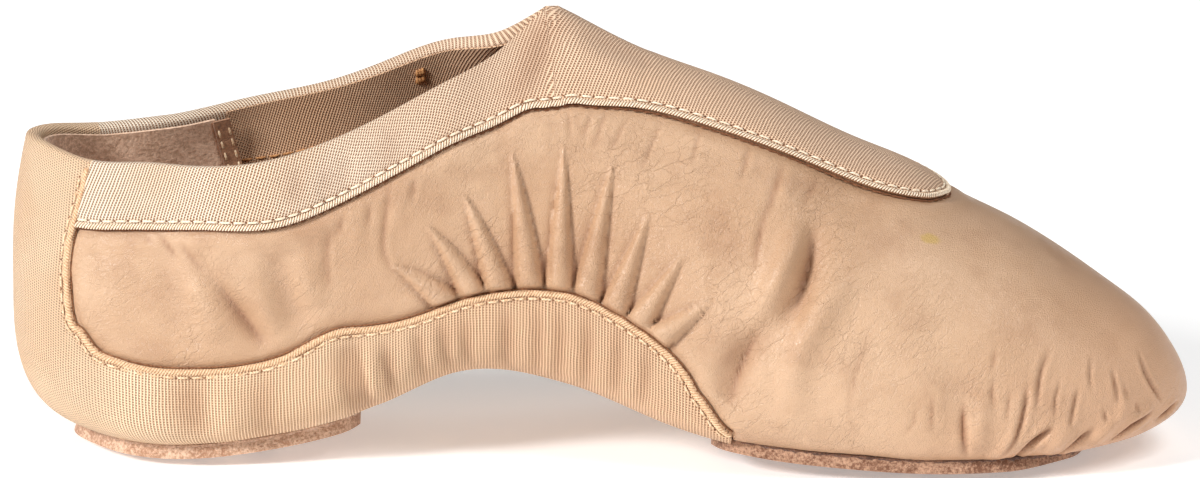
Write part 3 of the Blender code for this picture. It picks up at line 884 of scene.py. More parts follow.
def sweep(name: str, line: Line, profile: Sequence[Pair],
          size: Callable[[Array], Array] | None = None) -> Piece:
    """Sweeps a closed profile along a line.

    Args:
        name: The piece's name.
        line: The line.
        profile: Points of the profile, each a length into the cloth and a length up from it.
        size: A scale of the profile at each share of the way.

    Returns:
        The swept mesh, open at its ends.
    """
    closed = np.array([*profile, profile[0]], dtype=float)
    scale = np.ones(len(line.places)) if size is None else size(np.linspace(0.0, 1.0, len(line.places)))
    middle = closed[:-1].mean(axis=0)
    offset = middle + (closed[None, :, :] - middle) * scale[:, None, None]
    places = (line.places[:, None, :] + line.across()[:, None, :] * offset[..., :1]
              + line.normals[:, None, :] * offset[..., 1:])
    along = run_length(line.places)
    around = run_length(closed)
    cloth = np.stack(np.broadcast_arrays(along[:, None], around[None, :]), axis=-1)
    piece = Bench.lay_grid(name, places, cloth)
    return Bench.join(name, [piece], weld=1e-6)


def math_step(operation: str, swapped: bool = False) -> Callable[..., "Wire"]:
    """Makes a wire's operator.

    Args:
        operation: The Math node's operation.
        swapped: Whether the wire is the second of the two values.

    Returns:
        The method, which adds the node.
    """
    def step(*values: "Wire | float") -> "Wire":
        """Adds the node."""
        return values[0].board.math(operation, *(values[::-1] if swapped else values))

    return step


class Wire:
    """A number or vector of a material, which adds Math nodes where it is used in an expression."""

    def __init__(self, board: "Board", socket: bpy.types.NodeSocket) -> None:
        """Wraps an output socket of a board."""
        self.board = board
        self.socket = socket

    __add__ = math_step("ADD")
    __radd__ = math_step("ADD", swapped=True)
    __sub__ = math_step("SUBTRACT")
    __rsub__ = math_step("SUBTRACT", swapped=True)
    __mul__ = math_step("MULTIPLY")
    __pow__ = math_step("POWER")
    __abs__ = math_step("ABSOLUTE")


class Board:
    """One material's nodes."""

    def __init__(self, name: str) -> None:
        """Starts a material with its shader and output."""
        self.material = bpy.data.materials.new(name)
        self.material.use_nodes = True
        self.tree = self.material.node_tree
        self.shader = self.tree.nodes["Principled BSDF"]

    def node(self, kind: str, settings: dict[str, object] | None = None,
             inputs: dict[str | int, object] | None = None, output: str | int = 0) -> Wire:
        """Adds a node.

        Args:
            kind: The node's type.
            settings: Its settings, which are set first.
            inputs: Values or wires for its sockets.
            output: The output that is wanted.

        Returns:
            The output as a wire.
        """
        made = self.tree.nodes.new(kind)
        for key, value in (settings or {}).items():
            setattr(made, key, value)
        for key, value in (inputs or {}).items():
            self.put(made.inputs[key], value)
        return Wire(self, made.outputs[output])

    def put(self, socket: bpy.types.NodeSocket, value: object) -> None:
        """Links a wire to a socket, or sets its value."""
        if isinstance(value, Wire):
            self.tree.links.new(value.socket, socket)
        elif socket.type == "RGBA" and len(value) == 3:
            socket.default_value = (*value, 1.0)
        else:
            socket.default_value = value

    def math(self, operation: str, *values: "Wire | float") -> Wire:
        """Adds a Math node."""
        return self.node("ShaderNodeMath", {"operation": operation}, dict(enumerate(values)))

    def mix(self, share: "Wire | float", first: "Wire | Colour", second: "Wire | Colour") -> Wire:
        """Blends two colours."""
        return self.node("ShaderNodeMix", {"data_type": "RGBA", "clamp_factor": True},
                         {0: share, 6: first, 7: second}, output=2)

    def steps(self, value: Wire, low: float, high: float, first: float = 0.0, last: float = 1.0) -> Wire:
        """Blends smoothly from one number to another as a value goes from low to high."""
        return self.node("ShaderNodeMapRange", {"interpolation_type": "SMOOTHSTEP"},
                         {"Value": value, "From Min": low, "From Max": high, "To Min": first, "To Max": last})

    def cloth_place(self) -> Wire:
        """The piece's own UV coordinates, in metres."""
        return self.node("ShaderNodeUVMap", {"uv_map": "UVMap"})

    def crease(self) -> Wire:
        """How deep in a crease the point lies, from 0 to 1."""
        return self.node("ShaderNodeAttribute", {"attribute_name": CREASE}, output="Fac")

    def object_place(self) -> Wire:
        """The point in the shoe's frame."""
        return self.node("ShaderNodeTexCoord", output="Object")

    def turned(self, place: Wire, degrees: float, stretch: tuple[float, float, float]) -> Wire:
        """Turns a flat pattern and then stretches it along its own axes."""
        turned = self.node("ShaderNodeVectorRotate", {"rotation_type": "Z_AXIS"},
                           {"Vector": place, "Angle": math.radians(degrees)})
        return self.node("ShaderNodeVectorMath", {"operation": "MULTIPLY"}, {0: turned, 1: stretch})

    def parts(self, place: Wire) -> tuple[Wire, Wire, Wire]:
        """A vector's three coordinates."""
        split = self.node("ShaderNodeSeparateXYZ", inputs={"Vector": place})
        outputs = split.socket.node.outputs
        return Wire(self, outputs[0]), Wire(self, outputs[1]), Wire(self, outputs[2])

    def noise(self, place: Wire, scale: float, detail: float = 2.0, roughness: float = 0.5,
              output: str | int = 0) -> Wire:
        """Cloudy noise from 0 to 1."""
        return self.node("ShaderNodeTexNoise", {"noise_dimensions": "3D"},
                         {"Vector": place, "Scale": scale, "Detail": detail, "Roughness": roughness}, output)

    def cells(self, place: Wire, scale: float) -> Wire:
        """Distance to the nearest edge of irregular cells."""
        return self.node("ShaderNodeTexVoronoi", {"feature": "DISTANCE_TO_EDGE"},
                         {"Vector": place, "Scale": scale})

    def bump(self, height: Wire, depth: float, strength: float = 1.0) -> None:
        """Raises the surface's shading by a height of a depth in metres."""
        sockets = {"Height": height, "Strength": strength, "Distance": depth}
        self.put(self.shader.inputs["Normal"], self.node("ShaderNodeBump", inputs=sockets))

    def set(self, **values: object) -> None:
        """Sets the shader's sockets, named with underscores."""
        for name, value in values.items():
            self.put(self.shader.inputs[name.replace("_", " ")], value)


@dataclass(frozen=True)
class LeatherFinish:
    """Soft full-grain leather: fine grain, small wrinkles and a low gloss."""

    name: str
    light: Colour
    middle: Colour
    dark: Colour
    toe: Colour
    # The colour of the painted shade in creases and troughs
    crease: Colour
    stain: Colour
    stain_place: Pair
    stain_size: Pair = (0.0013, 0.0026)
    wrinkle_turn: float = 50.0
    long_wrinkle: Pair = (430.0, 0.070)
    short_wrinkle: Pair = (980.0, 0.12)
    grain_scale: float = 2300.0
    pore_scale: float = 2600.0
    relief: float = 0.00022
    roughness: float = 0.36

    def make(self) -> Material:
        """Builds the material.

        Returns:
            The finished material.
        """
        board = Board(self.name)
        cloth = board.cloth_place()
        place = board.object_place()
        clouds = board.noise(place, 26.0, 3.0, 0.55)
        patches = board.noise(place, 85.0, 3.0, 0.6)
        colour = board.mix(board.steps(clouds, 0.36, 0.66), self.middle, self.light)
        colour = board.mix(board.steps(patches, 0.45, 0.75) * 0.35, colour, self.dark)
        ahead, _, height = board.parts(place)
        toe = board.steps(ahead - height * 0.9, 0.040, 0.105) * 0.75
        colour = board.mix(toe, colour, self.toe)

        strength = board.steps(board.noise(place, 55.0, 2.0), 0.34, 0.64, 0.45, 1.0)
        smooth_toe = board.steps(height + ahead * 0.5, 0.062, 0.084) * board.steps(ahead, 0.035, 0.075)
        strength = strength * (1.0 - smooth_toe * 0.72)
        here = board.steps(board.noise(place, 75.0, 2.0), 0.39, 0.56) * strength
        there = board.steps(board.noise(place, 130.0, 2.0), 0.38, 0.56) * strength
        leaning = board.turned(cloth, self.wrinkle_turn, (1.0, 0.38, 1.0))
        crossing = board.turned(cloth, 30.0, (1.0, 0.55, 1.0))
        long_wrinkles = self.wrinkles(board, leaning, *self.long_wrinkle) * here
        short_wrinkles = self.wrinkles(board, crossing, *self.short_wrinkle) * there
        wrinkles = long_wrinkles * 0.62 + short_wrinkles * 0.38
        grain = board.steps(board.cells(cloth, self.grain_scale), 0.0, 0.25)
        pores = board.noise(cloth, self.pore_scale, 2.0, 0.6)
        slack = board.noise(board.turned(cloth, self.wrinkle_turn, (1.0, 0.5, 1.0)), 420.0, 3.0, 0.6)
        # Painted shade: the fine wrinkles are a little darker
        colour = board.mix(wrinkles * 0.09, colour, self.dark)
        # Painted shade: the colour darkens towards the crease shade colour where the crease depth is high
        crease = board.crease()
        colour = board.mix(crease * 0.72, colour, self.crease)

        across, around, _ = board.parts(cloth)
        left = across - self.stain_place[0]
        up = (around - self.stain_place[1]) * 1.45
        apart = (left * left + up * up) ** 0.5
        ragged = apart + (board.noise(cloth, 700.0, 3.0) - 0.5) * 0.0012
        colour = board.mix(board.steps(ragged, *self.stain_size, 0.90, 0.0), colour, self.stain)

        gloss = self.roughness + (board.noise(place, 140.0, 3.0) - 0.5) * 0.16 + crease * 0.25
        board.set(Base_Color=colour, Roughness=gloss)
        board.set(Specular_IOR_Level=0.50, Subsurface_Weight=0.0)
        height = grain * 0.22 + pores * 0.16 + slack * strength * 1.5 - wrinkles * 0.8
        board.bump(height, self.relief)
        return board.material

    @staticmethod
    def wrinkles(board: Board, place: Wire, scale: float, width: float) -> Wire:
        """The fine wrinkles of soft leather: the bent edges of uneven cells.

        Args:
            board: The material.
            place: The coordinates, already turned and stretched.
            scale: Cells to a metre.
            width: Half of a wrinkle's width, as a share of a cell.

        Returns:
            How deep in a wrinkle the point lies, from 0 to 1.
        """
        bend = board.noise(place, scale, 3.0, 0.65, "Color")
        reach = 1.5 / scale
        bent = board.node("ShaderNodeVectorMath", {"operation": "MULTIPLY_ADD"},
                          {0: bend, 1: (reach, reach, 0.0), 2: place})
        return board.steps(board.cells(bent, scale), 0.0, width, 1.0, 0.0)


@dataclass(frozen=True)
class MeshClothFinish:
    """Stretch cloth knitted in upright ribs, with rows of small holes between them."""

    name: str
    thread: Colour
    shade: Colour
    hole: Colour
    front: Colour
    front_blend: Pair
    pitch: Pair
    lean: float = 0.0
    stagger: float = 0.0
    hole_size: float = 0.30
    depth: float = 0.94
    level_ribs_until: float | None = None
    relief: float = 0.00024

    def make(self) -> Material:
        """Builds the material.

        Returns:
            The finished material.
        """
        board = Board(self.name)
        place = board.object_place()
        along, around, _ = board.parts(board.cloth_place())
        wobble = (board.noise(place, 150.0, 2.0) - 0.5) * 0.8
        column = (along - around * self.lean) * (1.0 / self.pitch[0]) + wobble
        row = around * (1.0 / self.pitch[1]) + wobble + board.math("FLOOR", column) * self.stagger
        left = (board.math("FRACT", column) - 0.5) * 1.15
        up = board.math("FRACT", row) - 0.5
        apart = (left * left + up * up) ** 0.5
        hole = board.steps(apart, self.hole_size * 0.6, self.hole_size * 1.3, 1.0, 0.0)
        ahead, _, _ = board.parts(place)
        rib = board.steps(abs(left), 0.12, 0.50)
        if self.level_ribs_until is not None:
            upright = board.steps(ahead, self.level_ribs_until - 0.012, self.level_ribs_until)
            rib = rib * upright + board.steps(abs(up), 0.12, 0.50) * (1.0 - upright)
        tone = board.steps(board.noise(place, 40.0, 3.0), 0.38, 0.66)
        colour = board.mix(tone * 0.35 + rib * 0.65, self.shade, self.thread)
        start, end = self.front_blend
        colour = board.mix(board.steps(ahead, start, end) * 0.82, colour, self.front)
        fibres = board.noise(place, 4200.0, 2.0, 0.7)
        colour = board.mix(fibres * 0.18, colour, self.shade)
        colour = board.mix(hole * self.depth, colour, self.hole)
        # Painted shade: the cloth darkens towards the holes' colour in its fold troughs
        colour = board.mix(board.crease() * 0.36, colour, self.hole)
        board.set(Base_Color=colour, Roughness=0.82, Sheen_Weight=0.10, Sheen_Roughness=0.5,
                  Specular_IOR_Level=0.22)
        board.bump((1.0 - hole) + rib * 0.9 + fibres * 0.2, self.relief)
        return board.material


@dataclass(frozen=True)
class SuedeFinish:
    """Napped split leather with a speckled, worn face."""

    name: str
    light: Colour
    dark: Colour
    grain: float = 1600.0
    relief: float = 0.00035

    def make(self) -> Material:
        """Builds the material.

        Returns:
            The finished material.
        """
        board = Board(self.name)
        place = board.object_place()
        nap = board.noise(place, self.grain, 4.0, 0.75)
        worn = board.noise(place, 150.0, 3.0, 0.6)
        share = board.steps(nap * 0.66 + worn * 0.34, 0.40, 0.60)
        board.set(Base_Color=board.mix(share, self.dark, self.light), Roughness=0.95, Sheen_Weight=0.25,
                  Sheen_Roughness=0.6, Specular_IOR_Level=0.15)
        board.bump(nap + board.noise(place, self.grain * 0.35, 3.0), self.relief, 0.9)
        return board.material


@dataclass(frozen=True)
class ThreadFinish:
    """Sewing thread with the light twist of its plies."""

    name: str
    light: Colour
    dark: Colour
    relief: float = 0.0001

    def make(self) -> Material:
        """Builds the material.

        Returns:
            The finished material.
        """
        board = Board(self.name)
        place = board.object_place()
        plies = board.noise(place, 2400.0, 2.0, 0.6)
        board.set(Base_Color=board.mix(board.steps(plies, 0.35, 0.65), self.dark, self.light), Roughness=0.7,
                  Specular_IOR_Level=0.3)
        board.bump(plies, self.relief, 0.6)
        return board.material


@dataclass(frozen=True)
class PlainFinish:
    """A smooth matt surface, for the floor."""

    name: str
    colour: Colour
    roughness: float = 0.9
    glow: float = 0.0

    def make(self) -> Material:
        """Builds the material."""
        board = Board(self.name)
        board.set(Base_Color=self.colour, Roughness=self.roughness, Specular_IOR_Level=0.1,
                  Emission_Color=self.colour, Emission_Strength=self.glow)
        return board.material


LEATHER_LIGHT = (0.62, 0.4, 0.25)
LEATHER_MIDDLE = (0.53, 0.32, 0.187)
LEATHER_DARK = (0.33, 0.16, 0.08)
LEATHER_TOE = (0.63, 0.36, 0.212)
LEATHER_CREASE_SHADE = (0.23, 0.085, 0.035)
STAIN_YELLOW = (0.56, 0.36, 0.12)
CLOTH_LIGHT = (0.97, 0.87, 0.72)
CLOTH_SHADE = (0.8, 0.54, 0.34)
CLOTH_FRONT = (0.93, 0.62, 0.41)
CLOTH_HOLE = (0.27, 0.1, 0.04)
# The gore's inner face: a darker, oranger copy of the collar mesh, painted shade where little light reaches
# inside the collar
SHADED_FACING_LIGHT = (0.86, 0.58, 0.38)
SHADED_FACING_SHADE = (0.68, 0.4, 0.22)
HEEL_CLOTH_LIGHT = (0.97, 0.75, 0.52)
HEEL_CLOTH_SHADE = (0.86, 0.56, 0.34)
ARCH_CLOTH = (0.78, 0.5, 0.31)

# Pairs of a light and a dark tone
FLESH_TONES = ((0.62, 0.42, 0.27), (0.46, 0.28, 0.16))
BALL_SUEDE_TONES = ((0.6, 0.36, 0.235), (0.2, 0.085, 0.045))
HEEL_SUEDE_TONES = ((0.82, 0.57, 0.41), (0.42, 0.22, 0.13))
NAP_TONES = ((0.72, 0.47, 0.33), (0.4, 0.21, 0.12))
GLUE_TONES = ((0.22, 0.095, 0.05), (0.07, 0.028, 0.016))
LINING_TONES = ((0.97, 0.67, 0.48), (0.6, 0.37, 0.235))
STAY_TONES = ((0.46, 0.23, 0.12), (0.28, 0.13, 0.065))
THREAD_TONES = ((0.9, 0.72, 0.5), (0.62, 0.38, 0.21))
TACK_TONES = ((0.66, 0.34, 0.14), (0.36, 0.15, 0.05))
GORE_LIP_TONES = ((0.95, 0.84, 0.67), (0.84, 0.64, 0.45))
# Tones of the beads under the braids: painted shade in the gaps between the threads
GORE_CORE_SHADE_TONES = ((0.34, 0.17, 0.085), (0.2, 0.085, 0.04))
# Tones of the painted shadow line along the gore's edge, also used for its needle holes and bites
GORE_SEAM_SHADOW_TONES = ((0.27, 0.11, 0.048), (0.13, 0.048, 0.02))
PANEL_LIP_TONES = ((0.9, 0.66, 0.43), (0.7, 0.44, 0.26))
PANEL_CORE_SHADE_TONES = ((0.62, 0.38, 0.22), (0.45, 0.25, 0.13))
# Tones of the painted shadow line along the panel's edge, also used for its needle holes
PANEL_SEAM_SHADOW_TONES = ((0.36, 0.17, 0.08), (0.18, 0.07, 0.03))


@dataclass
class Wardrobe:
    """The shoe's finished materials."""

    last: Last
    stain_station: float = 0.778
    stain_girth: float = 1.624

    def __post_init__(self) -> None:
        """Makes each material once."""
        near = Unrolled(self.last, Side.NEAR)
        stain = near.read(np.array(self.stain_station), np.array(self.stain_girth))
        self.leather = LeatherFinish("tan_leather", LEATHER_LIGHT, LEATHER_MIDDLE, LEATHER_DARK, LEATHER_TOE,
                                     LEATHER_CREASE_SHADE, STAIN_YELLOW, (float(stain[0]), float(stain[1]))).make()
        gore = MeshClothFinish("collar_mesh", CLOTH_LIGHT, CLOTH_SHADE, CLOTH_HOLE, CLOTH_FRONT,
                               front_blend=(-0.085, 0.000), pitch=(0.00066, 0.00056), lean=0.30, stagger=0.5,
                               hole_size=0.31, depth=0.90)
        self.gore = gore.make()
        # The inner face takes the darker copy of the gore cloth: painted shade
        self.facing = replace(gore, name="shaded_facing_mesh", thread=SHADED_FACING_LIGHT, shade=SHADED_FACING_SHADE,
                              front=SHADED_FACING_LIGHT).make()
        self.panel = MeshClothFinish("heel_mesh", HEEL_CLOTH_LIGHT, HEEL_CLOTH_SHADE, CLOTH_HOLE, ARCH_CLOTH,
                                     front_blend=(-0.090, -0.010), pitch=(0.00068, 0.00055), hole_size=0.28,
                                     depth=0.80, level_ribs_until=-0.094).make()
        self.flesh = SuedeFinish("leather_inside", *FLESH_TONES, grain=1200.0).make()
        self.ball_suede = SuedeFinish("forefoot_suede", *BALL_SUEDE_TONES).make()
        self.heel_suede = SuedeFinish("heel_suede", *HEEL_SUEDE_TONES).make()
        self.nap = SuedeFinish("pad_edge_nap", *NAP_TONES, grain=2200.0).make()
        self.glue = SuedeFinish("glue_brown", *GLUE_TONES, grain=2200.0).make()
        self.lining = SuedeFinish("heel_lining_suede", *LINING_TONES, grain=1100.0).make()
        self.stay = SuedeFinish("stay_leather", *STAY_TONES, grain=900.0).make()
        self.thread = ThreadFinish("pale_thread", *THREAD_TONES).make()
        self.tack = ThreadFinish("tack_thread", *TACK_TONES).make()
        self.gore_lip = ThreadFinish("collar_lip_thread", *GORE_LIP_TONES).make()
        self.gore_core_shade = ThreadFinish("braid_core_shade", *GORE_CORE_SHADE_TONES).make()
        self.gore_seam_shadow = ThreadFinish("seam_shadow", *GORE_SEAM_SHADOW_TONES).make()
        self.panel_lip = ThreadFinish("heel_lip_thread", *PANEL_LIP_TONES).make()
        self.panel_core_shade = ThreadFinish("heel_lip_core_shade", *PANEL_CORE_SHADE_TONES).make()
        self.panel_seam_shadow = ThreadFinish("heel_seam_shadow", *PANEL_SEAM_SHADOW_TONES).make()


LINE_STEP = 0.0008
SEAM_PLACES = 420
GORE_TIP = ((0.0012, 1.955), (0.002, 1.98), (0.0022, 2.0))
COUNTER_TOP = 1.975


def gore_edge_way() -> list[Spot]:
    """The gore's stitched edge, from the near side's counter round the front end to the far side's.

    Returns:
        Side, station and girth of each place.
    """
    rear = float(COUNTER_EDGE.read("station", GORE_EDGE.read("girth", GORE_START) / 2.0))
    stations = np.linspace(rear, GORE_END, SEAM_PLACES)
    half = [(float(s), float(GORE_EDGE.read("girth", max(s, GORE_START)))) for s in stations]
    half += [(GORE_END + ahead, girth) for ahead, girth in GORE_TIP]
    near = [(Side.NEAR, s, g) for s, g in half]
    far = [(Side.FAR, s, g) for s, g in reversed(half[:-1])]
    return near + far


def panel_edge_way(side: Side) -> list[Spot]:
    """The panel's stitched edge on one side, with the cloth on the left of its direction.

    Args:
        side: The side of the foot.

    Returns:
        Side, station and girth of each place.
    """
    rising = [(float(counter_edge(g)), float(g)) for g in np.linspace(COUNTER_TOP, COUNTER_CORNER, 40)]
    stations = PANEL_START + (PANEL_FRONT - PANEL_START) * np.linspace(0.0, 1.0, SEAM_PLACES)[1:] ** 1.15
    level = [(float(s), float(PANEL_EDGE.read("girth", s))) for s in stations]
    way = [(side, s, g) for s, g in rising + level]
    return way[::-1] if side is Side.NEAR else way


def counter_edge(girth: Array | float) -> Array:
    """Station of the counter's upright edge at a girth."""
    return COUNTER_EDGE.read("station", np.maximum(girth, COUNTER_CORNER) / 2.0)


FoldRow = tuple[FoldKind, float, float, Pairs]
SOFT = FoldKind.SOFT
SHARP = FoldKind.CREASE

# The nine pleats: station and girth of each one's foot on the seam and of its tip
PLEATS: tuple[Pairs, ...] = (
    ((0.367, 1.066), (0.318, 1.322)),
    ((0.39, 1.074), (0.349, 1.412)),
    ((0.412, 1.086), (0.38, 1.487)),
    ((0.438, 1.098), (0.422, 1.548)),
    ((0.462, 1.108), (0.467, 1.495)),
    ((0.485, 1.114), (0.51, 1.503)),
    ((0.509, 1.114), (0.541, 1.4)),
    ((0.529, 1.102), (0.571, 1.32)),
    ((0.547, 1.092), (0.597, 1.23)),
)

# Soft folds and creases of the inner quarter and vamp: width and rise in millimetres
QUARTER_FOLDS: tuple[FoldRow, ...] = (
    (SOFT, 4.0, -1.05, ((0.118, 1.69), (0.13, 1.56), (0.137, 1.4), (0.146, 1.23))),
    (SOFT, 2.8, 0.8, ((0.146, 1.52), (0.162, 1.36), (0.178, 1.2))),
    (SOFT, 2.6, -1.5, ((0.146, 1.648), (0.164, 1.52), (0.186, 1.348), (0.204, 1.22), (0.214, 1.14))),
    (SOFT, 2.4, 1.05, ((0.2, 1.48), (0.214, 1.33), (0.226, 1.2))),
    (SOFT, 2.8, -1.2, ((0.22, 1.608), (0.226, 1.44), (0.236, 1.288), (0.252, 1.18))),
    (SOFT, 2.6, 0.8, ((0.244, 1.56), (0.248, 1.4), (0.256, 1.27))),
    (SHARP, 0.9, -0.45, ((0.172, 1.45), (0.188, 1.33), (0.204, 1.215), (0.212, 1.16))),
    (SHARP, 0.8, -0.4, ((0.12, 1.715), (0.127, 1.66), (0.136, 1.6))),
    (SHARP, 0.8, -0.3, ((0.136, 1.69), (0.148, 1.61), (0.158, 1.53))),
    (SHARP, 0.7, -0.3, ((0.106, 1.7), (0.114, 1.66))),
    (SHARP, 0.8, -0.4, ((0.268, 1.64), (0.264, 1.468), (0.268, 1.34))),
    (SHARP, 0.6, -0.3, ((0.28, 1.68), (0.273, 1.565))),
    (SHARP, 0.7, -0.35, ((0.318, 1.672), (0.316, 1.572), (0.312, 1.396), (0.322, 1.272))),
    (SHARP, 0.6, -0.28, ((0.302, 1.66), (0.3, 1.54))),
    (SHARP, 0.6, -0.26, ((0.34, 1.65), (0.338, 1.56))),
    (SOFT, 1.8, 0.34, ((0.292, 1.68), (0.29, 1.54), (0.29, 1.42))),
    (SOFT, 1.8, 0.34, ((0.33, 1.65), (0.328, 1.54), (0.326, 1.44))),
    (SOFT, 5.0, 0.6, ((0.07, 1.62), (0.08, 1.38), (0.095, 1.18))),
    (SOFT, 3.0, 2.5, ((0.667, 1.52), (0.66, 1.404), (0.646, 1.3), (0.636, 1.23), (0.622, 1.14))),
    (SOFT, 2.6, -2.2, ((0.682, 1.54), (0.677, 1.43), (0.671, 1.332), (0.664, 1.264), (0.654, 1.19))),
    (SHARP, 0.8, -0.6, ((0.679, 1.5), (0.676, 1.4), (0.67, 1.332), (0.664, 1.264))),
    (SOFT, 3.0, -2.7, ((0.646, 1.24), (0.628, 1.156), (0.617, 1.104), (0.609, 1.048), (0.604, 0.96))),
    (SHARP, 0.8, -0.45, ((0.632, 1.18), (0.62, 1.11), (0.611, 1.05), (0.606, 0.98))),
    (SOFT, 3.4, 2.1, ((0.708, 1.4), (0.692, 1.3), (0.678, 1.228), (0.664, 1.144), (0.658, 0.96))),
    (SHARP, 0.8, -0.44, ((0.64, 1.53), (0.632, 1.408), (0.628, 1.32))),
    (SHARP, 0.8, -0.44, ((0.653, 1.69), (0.646, 1.58), (0.64, 1.49))),
    (SHARP, 0.6, -0.3, ((0.624, 1.7), (0.622, 1.64), (0.616, 1.56))),
    (SOFT, 2.0, 0.5, ((0.66, 1.68), (0.656, 1.58), (0.652, 1.48))),
    (SHARP, 0.7, -0.26, ((0.728, 1.251), (0.712, 1.106), (0.709, 1.002))),
    (SHARP, 0.5, -0.22, ((0.469, 1.58), (0.473, 1.495))),
    (SHARP, 0.5, -0.24, ((0.491, 1.6), (0.483, 1.511))),
    (SHARP, 0.5, -0.26, ((0.504, 1.63), (0.492, 1.495))),
    (SHARP, 0.5, -0.26, ((0.522, 1.64), (0.504, 1.487))),
    (SHARP, 0.5, -0.26, ((0.551, 1.68), (0.532, 1.483))),
    (SHARP, 0.5, -0.24, ((0.583, 1.69), (0.575, 1.555))),
    (SHARP, 0.7, -0.28, ((0.685, 1.72), (0.669, 1.551))),
)

# Gathers of the leather round the toe, on the inner side
TOE_GATHERS: tuple[FoldRow, ...] = (
    (SHARP, 0.7, -0.5, ((0.806, 1.07), (0.806, 1.004), (0.807, 0.84), (0.808, 0.64))),
    (SHARP, 0.55, -0.26, ((0.832, 1.156), (0.83, 1.1), (0.834, 1.044))),
    (SHARP, 0.6, -0.48, ((0.86, 1.14), (0.86, 1.084), (0.856, 1.02), (0.85, 0.844), (0.834, 0.62))),
    (SHARP, 0.6, -0.34, ((0.88, 1.312), (0.872, 1.204), (0.87, 1.132), (0.868, 1.052))),
    (SHARP, 0.62, -0.85, ((0.882, 0.945), (0.87, 0.856), (0.86, 0.748), (0.85, 0.5))),
    (SHARP, 0.5, -0.34, ((0.904, 1.144), (0.9, 1.06), (0.896, 0.94))),
    (SHARP, 0.62, -0.85, ((0.916, 0.885), (0.904, 0.764), (0.894, 0.648), (0.88, 0.4))),
    (SHARP, 0.48, -0.34, ((0.934, 1.268), (0.936, 1.176), (0.938, 1.068))),
    (SHARP, 0.45, -0.3, ((0.926, 1.036), (0.928, 0.948))),
    (SHARP, 0.5, -0.46, ((0.957, 1.45), (0.962, 1.296), (0.972, 1.132), (0.977, 1.04))),
    (SHARP, 0.45, -0.32, ((0.954, 1.068), (0.956, 0.984))),
    (SHARP, 0.55, -0.55, ((0.991, 0.91), (0.983, 0.83), (0.973, 0.74))),
    (SHARP, 0.6, -0.75, ((0.97, 0.95), (0.957, 0.876), (0.944, 0.756), (0.932, 0.62))),
    (SHARP, 0.45, -0.24, ((0.776, 1.116), (0.778, 1.072), (0.782, 0.86))),
    (SHARP, 0.45, -0.2, ((0.768, 1.068), (0.756, 0.904))),
    (SHARP, 0.45, -0.2, ((0.834, 1.268), (0.83, 1.184))),
    (SHARP, 0.45, -0.24, ((0.889, 1.18), (0.884, 1.09), (0.884, 1.01))),
    (SHARP, 0.45, -0.2, ((0.916, 1.33), (0.914, 1.22), (0.916, 1.13))),
    (SHARP, 0.45, -0.22, ((0.944, 1.18), (0.946, 1.09))),
    (SHARP, 0.45, -0.22, ((0.846, 1.12), (0.843, 1.01))),
    (SOFT, 1.9, 0.75, ((0.9, 0.96), (0.886, 0.8), (0.872, 0.6))),
    (SOFT, 1.9, 0.75, ((0.936, 0.94), (0.922, 0.78), (0.908, 0.58))),
    (SOFT, 1.9, 0.65, ((0.852, 0.96), (0.844, 0.76), (0.83, 0.56))),
    (SOFT, 1.8, 0.45, ((0.822, 1.12), (0.82, 0.96), (0.818, 0.76))),
    (SOFT, 1.7, 0.45, ((0.946, 1.12), (0.942, 1.0), (0.934, 0.9))),
    (SOFT, 1.7, 0.5, ((0.966, 1.06), (0.962, 0.96), (0.95, 0.84))),
    (SOFT, 2.6, -0.4, ((0.796, 1.18), (0.8, 1.02), (0.798, 0.86))),
)

# Soft folds of the stretch cloth: the arch panel's gathers and the gore's slack
PANEL_FOLDS: tuple[FoldRow, ...] = (
    (SOFT, 4.2, -0.5, ((0.15, 1.08), (0.15, 0.934), (0.154, 0.6))),
    (SOFT, 3.4, 0.4, ((0.178, 1.08), (0.18, 0.934), (0.184, 0.6))),
    (SOFT, 3.6, -0.36, ((0.208, 1.08), (0.21, 0.886), (0.213, 0.485))),
    (SOFT, 3.0, -0.8, ((0.282, 1.11), (0.287, 1.002), (0.294, 0.637), (0.298, 0.4))),
    (SOFT, 1.6, 0.55, ((0.299, 1.06), (0.302, 0.94), (0.305, 0.56))),
    (SOFT, 1.5, -0.5, ((0.313, 1.04), (0.316, 0.9), (0.319, 0.5))),
    (SOFT, 1.5, -0.36, ((0.341, 1.034), (0.343, 0.902), (0.346, 0.481))),
    (SOFT, 1.4, -0.4, ((0.362, 1.03), (0.364, 0.87), (0.368, 0.497))),
    (SOFT, 1.4, -0.36, ((0.381, 1.038), (0.383, 0.834), (0.386, 0.509))),
    (SOFT, 1.6, -0.4, ((0.417, 1.062), (0.418, 0.894), (0.419, 0.489))),
    (SOFT, 1.4, -0.34, ((0.444, 1.074), (0.445, 0.954), (0.445, 0.469))),
    (SOFT, 1.4, -0.36, ((0.463, 1.078), (0.464, 0.978), (0.463, 0.485))),
    (SOFT, 1.5, -0.4, ((0.487, 1.086), (0.487, 0.982), (0.486, 0.513))),
    (SOFT, 1.5, -0.36, ((0.514, 1.082), (0.513, 1.006), (0.511, 0.589))),
    (SOFT, 1.5, -0.34, ((0.538, 1.06), (0.537, 0.998), (0.534, 0.653))),
)
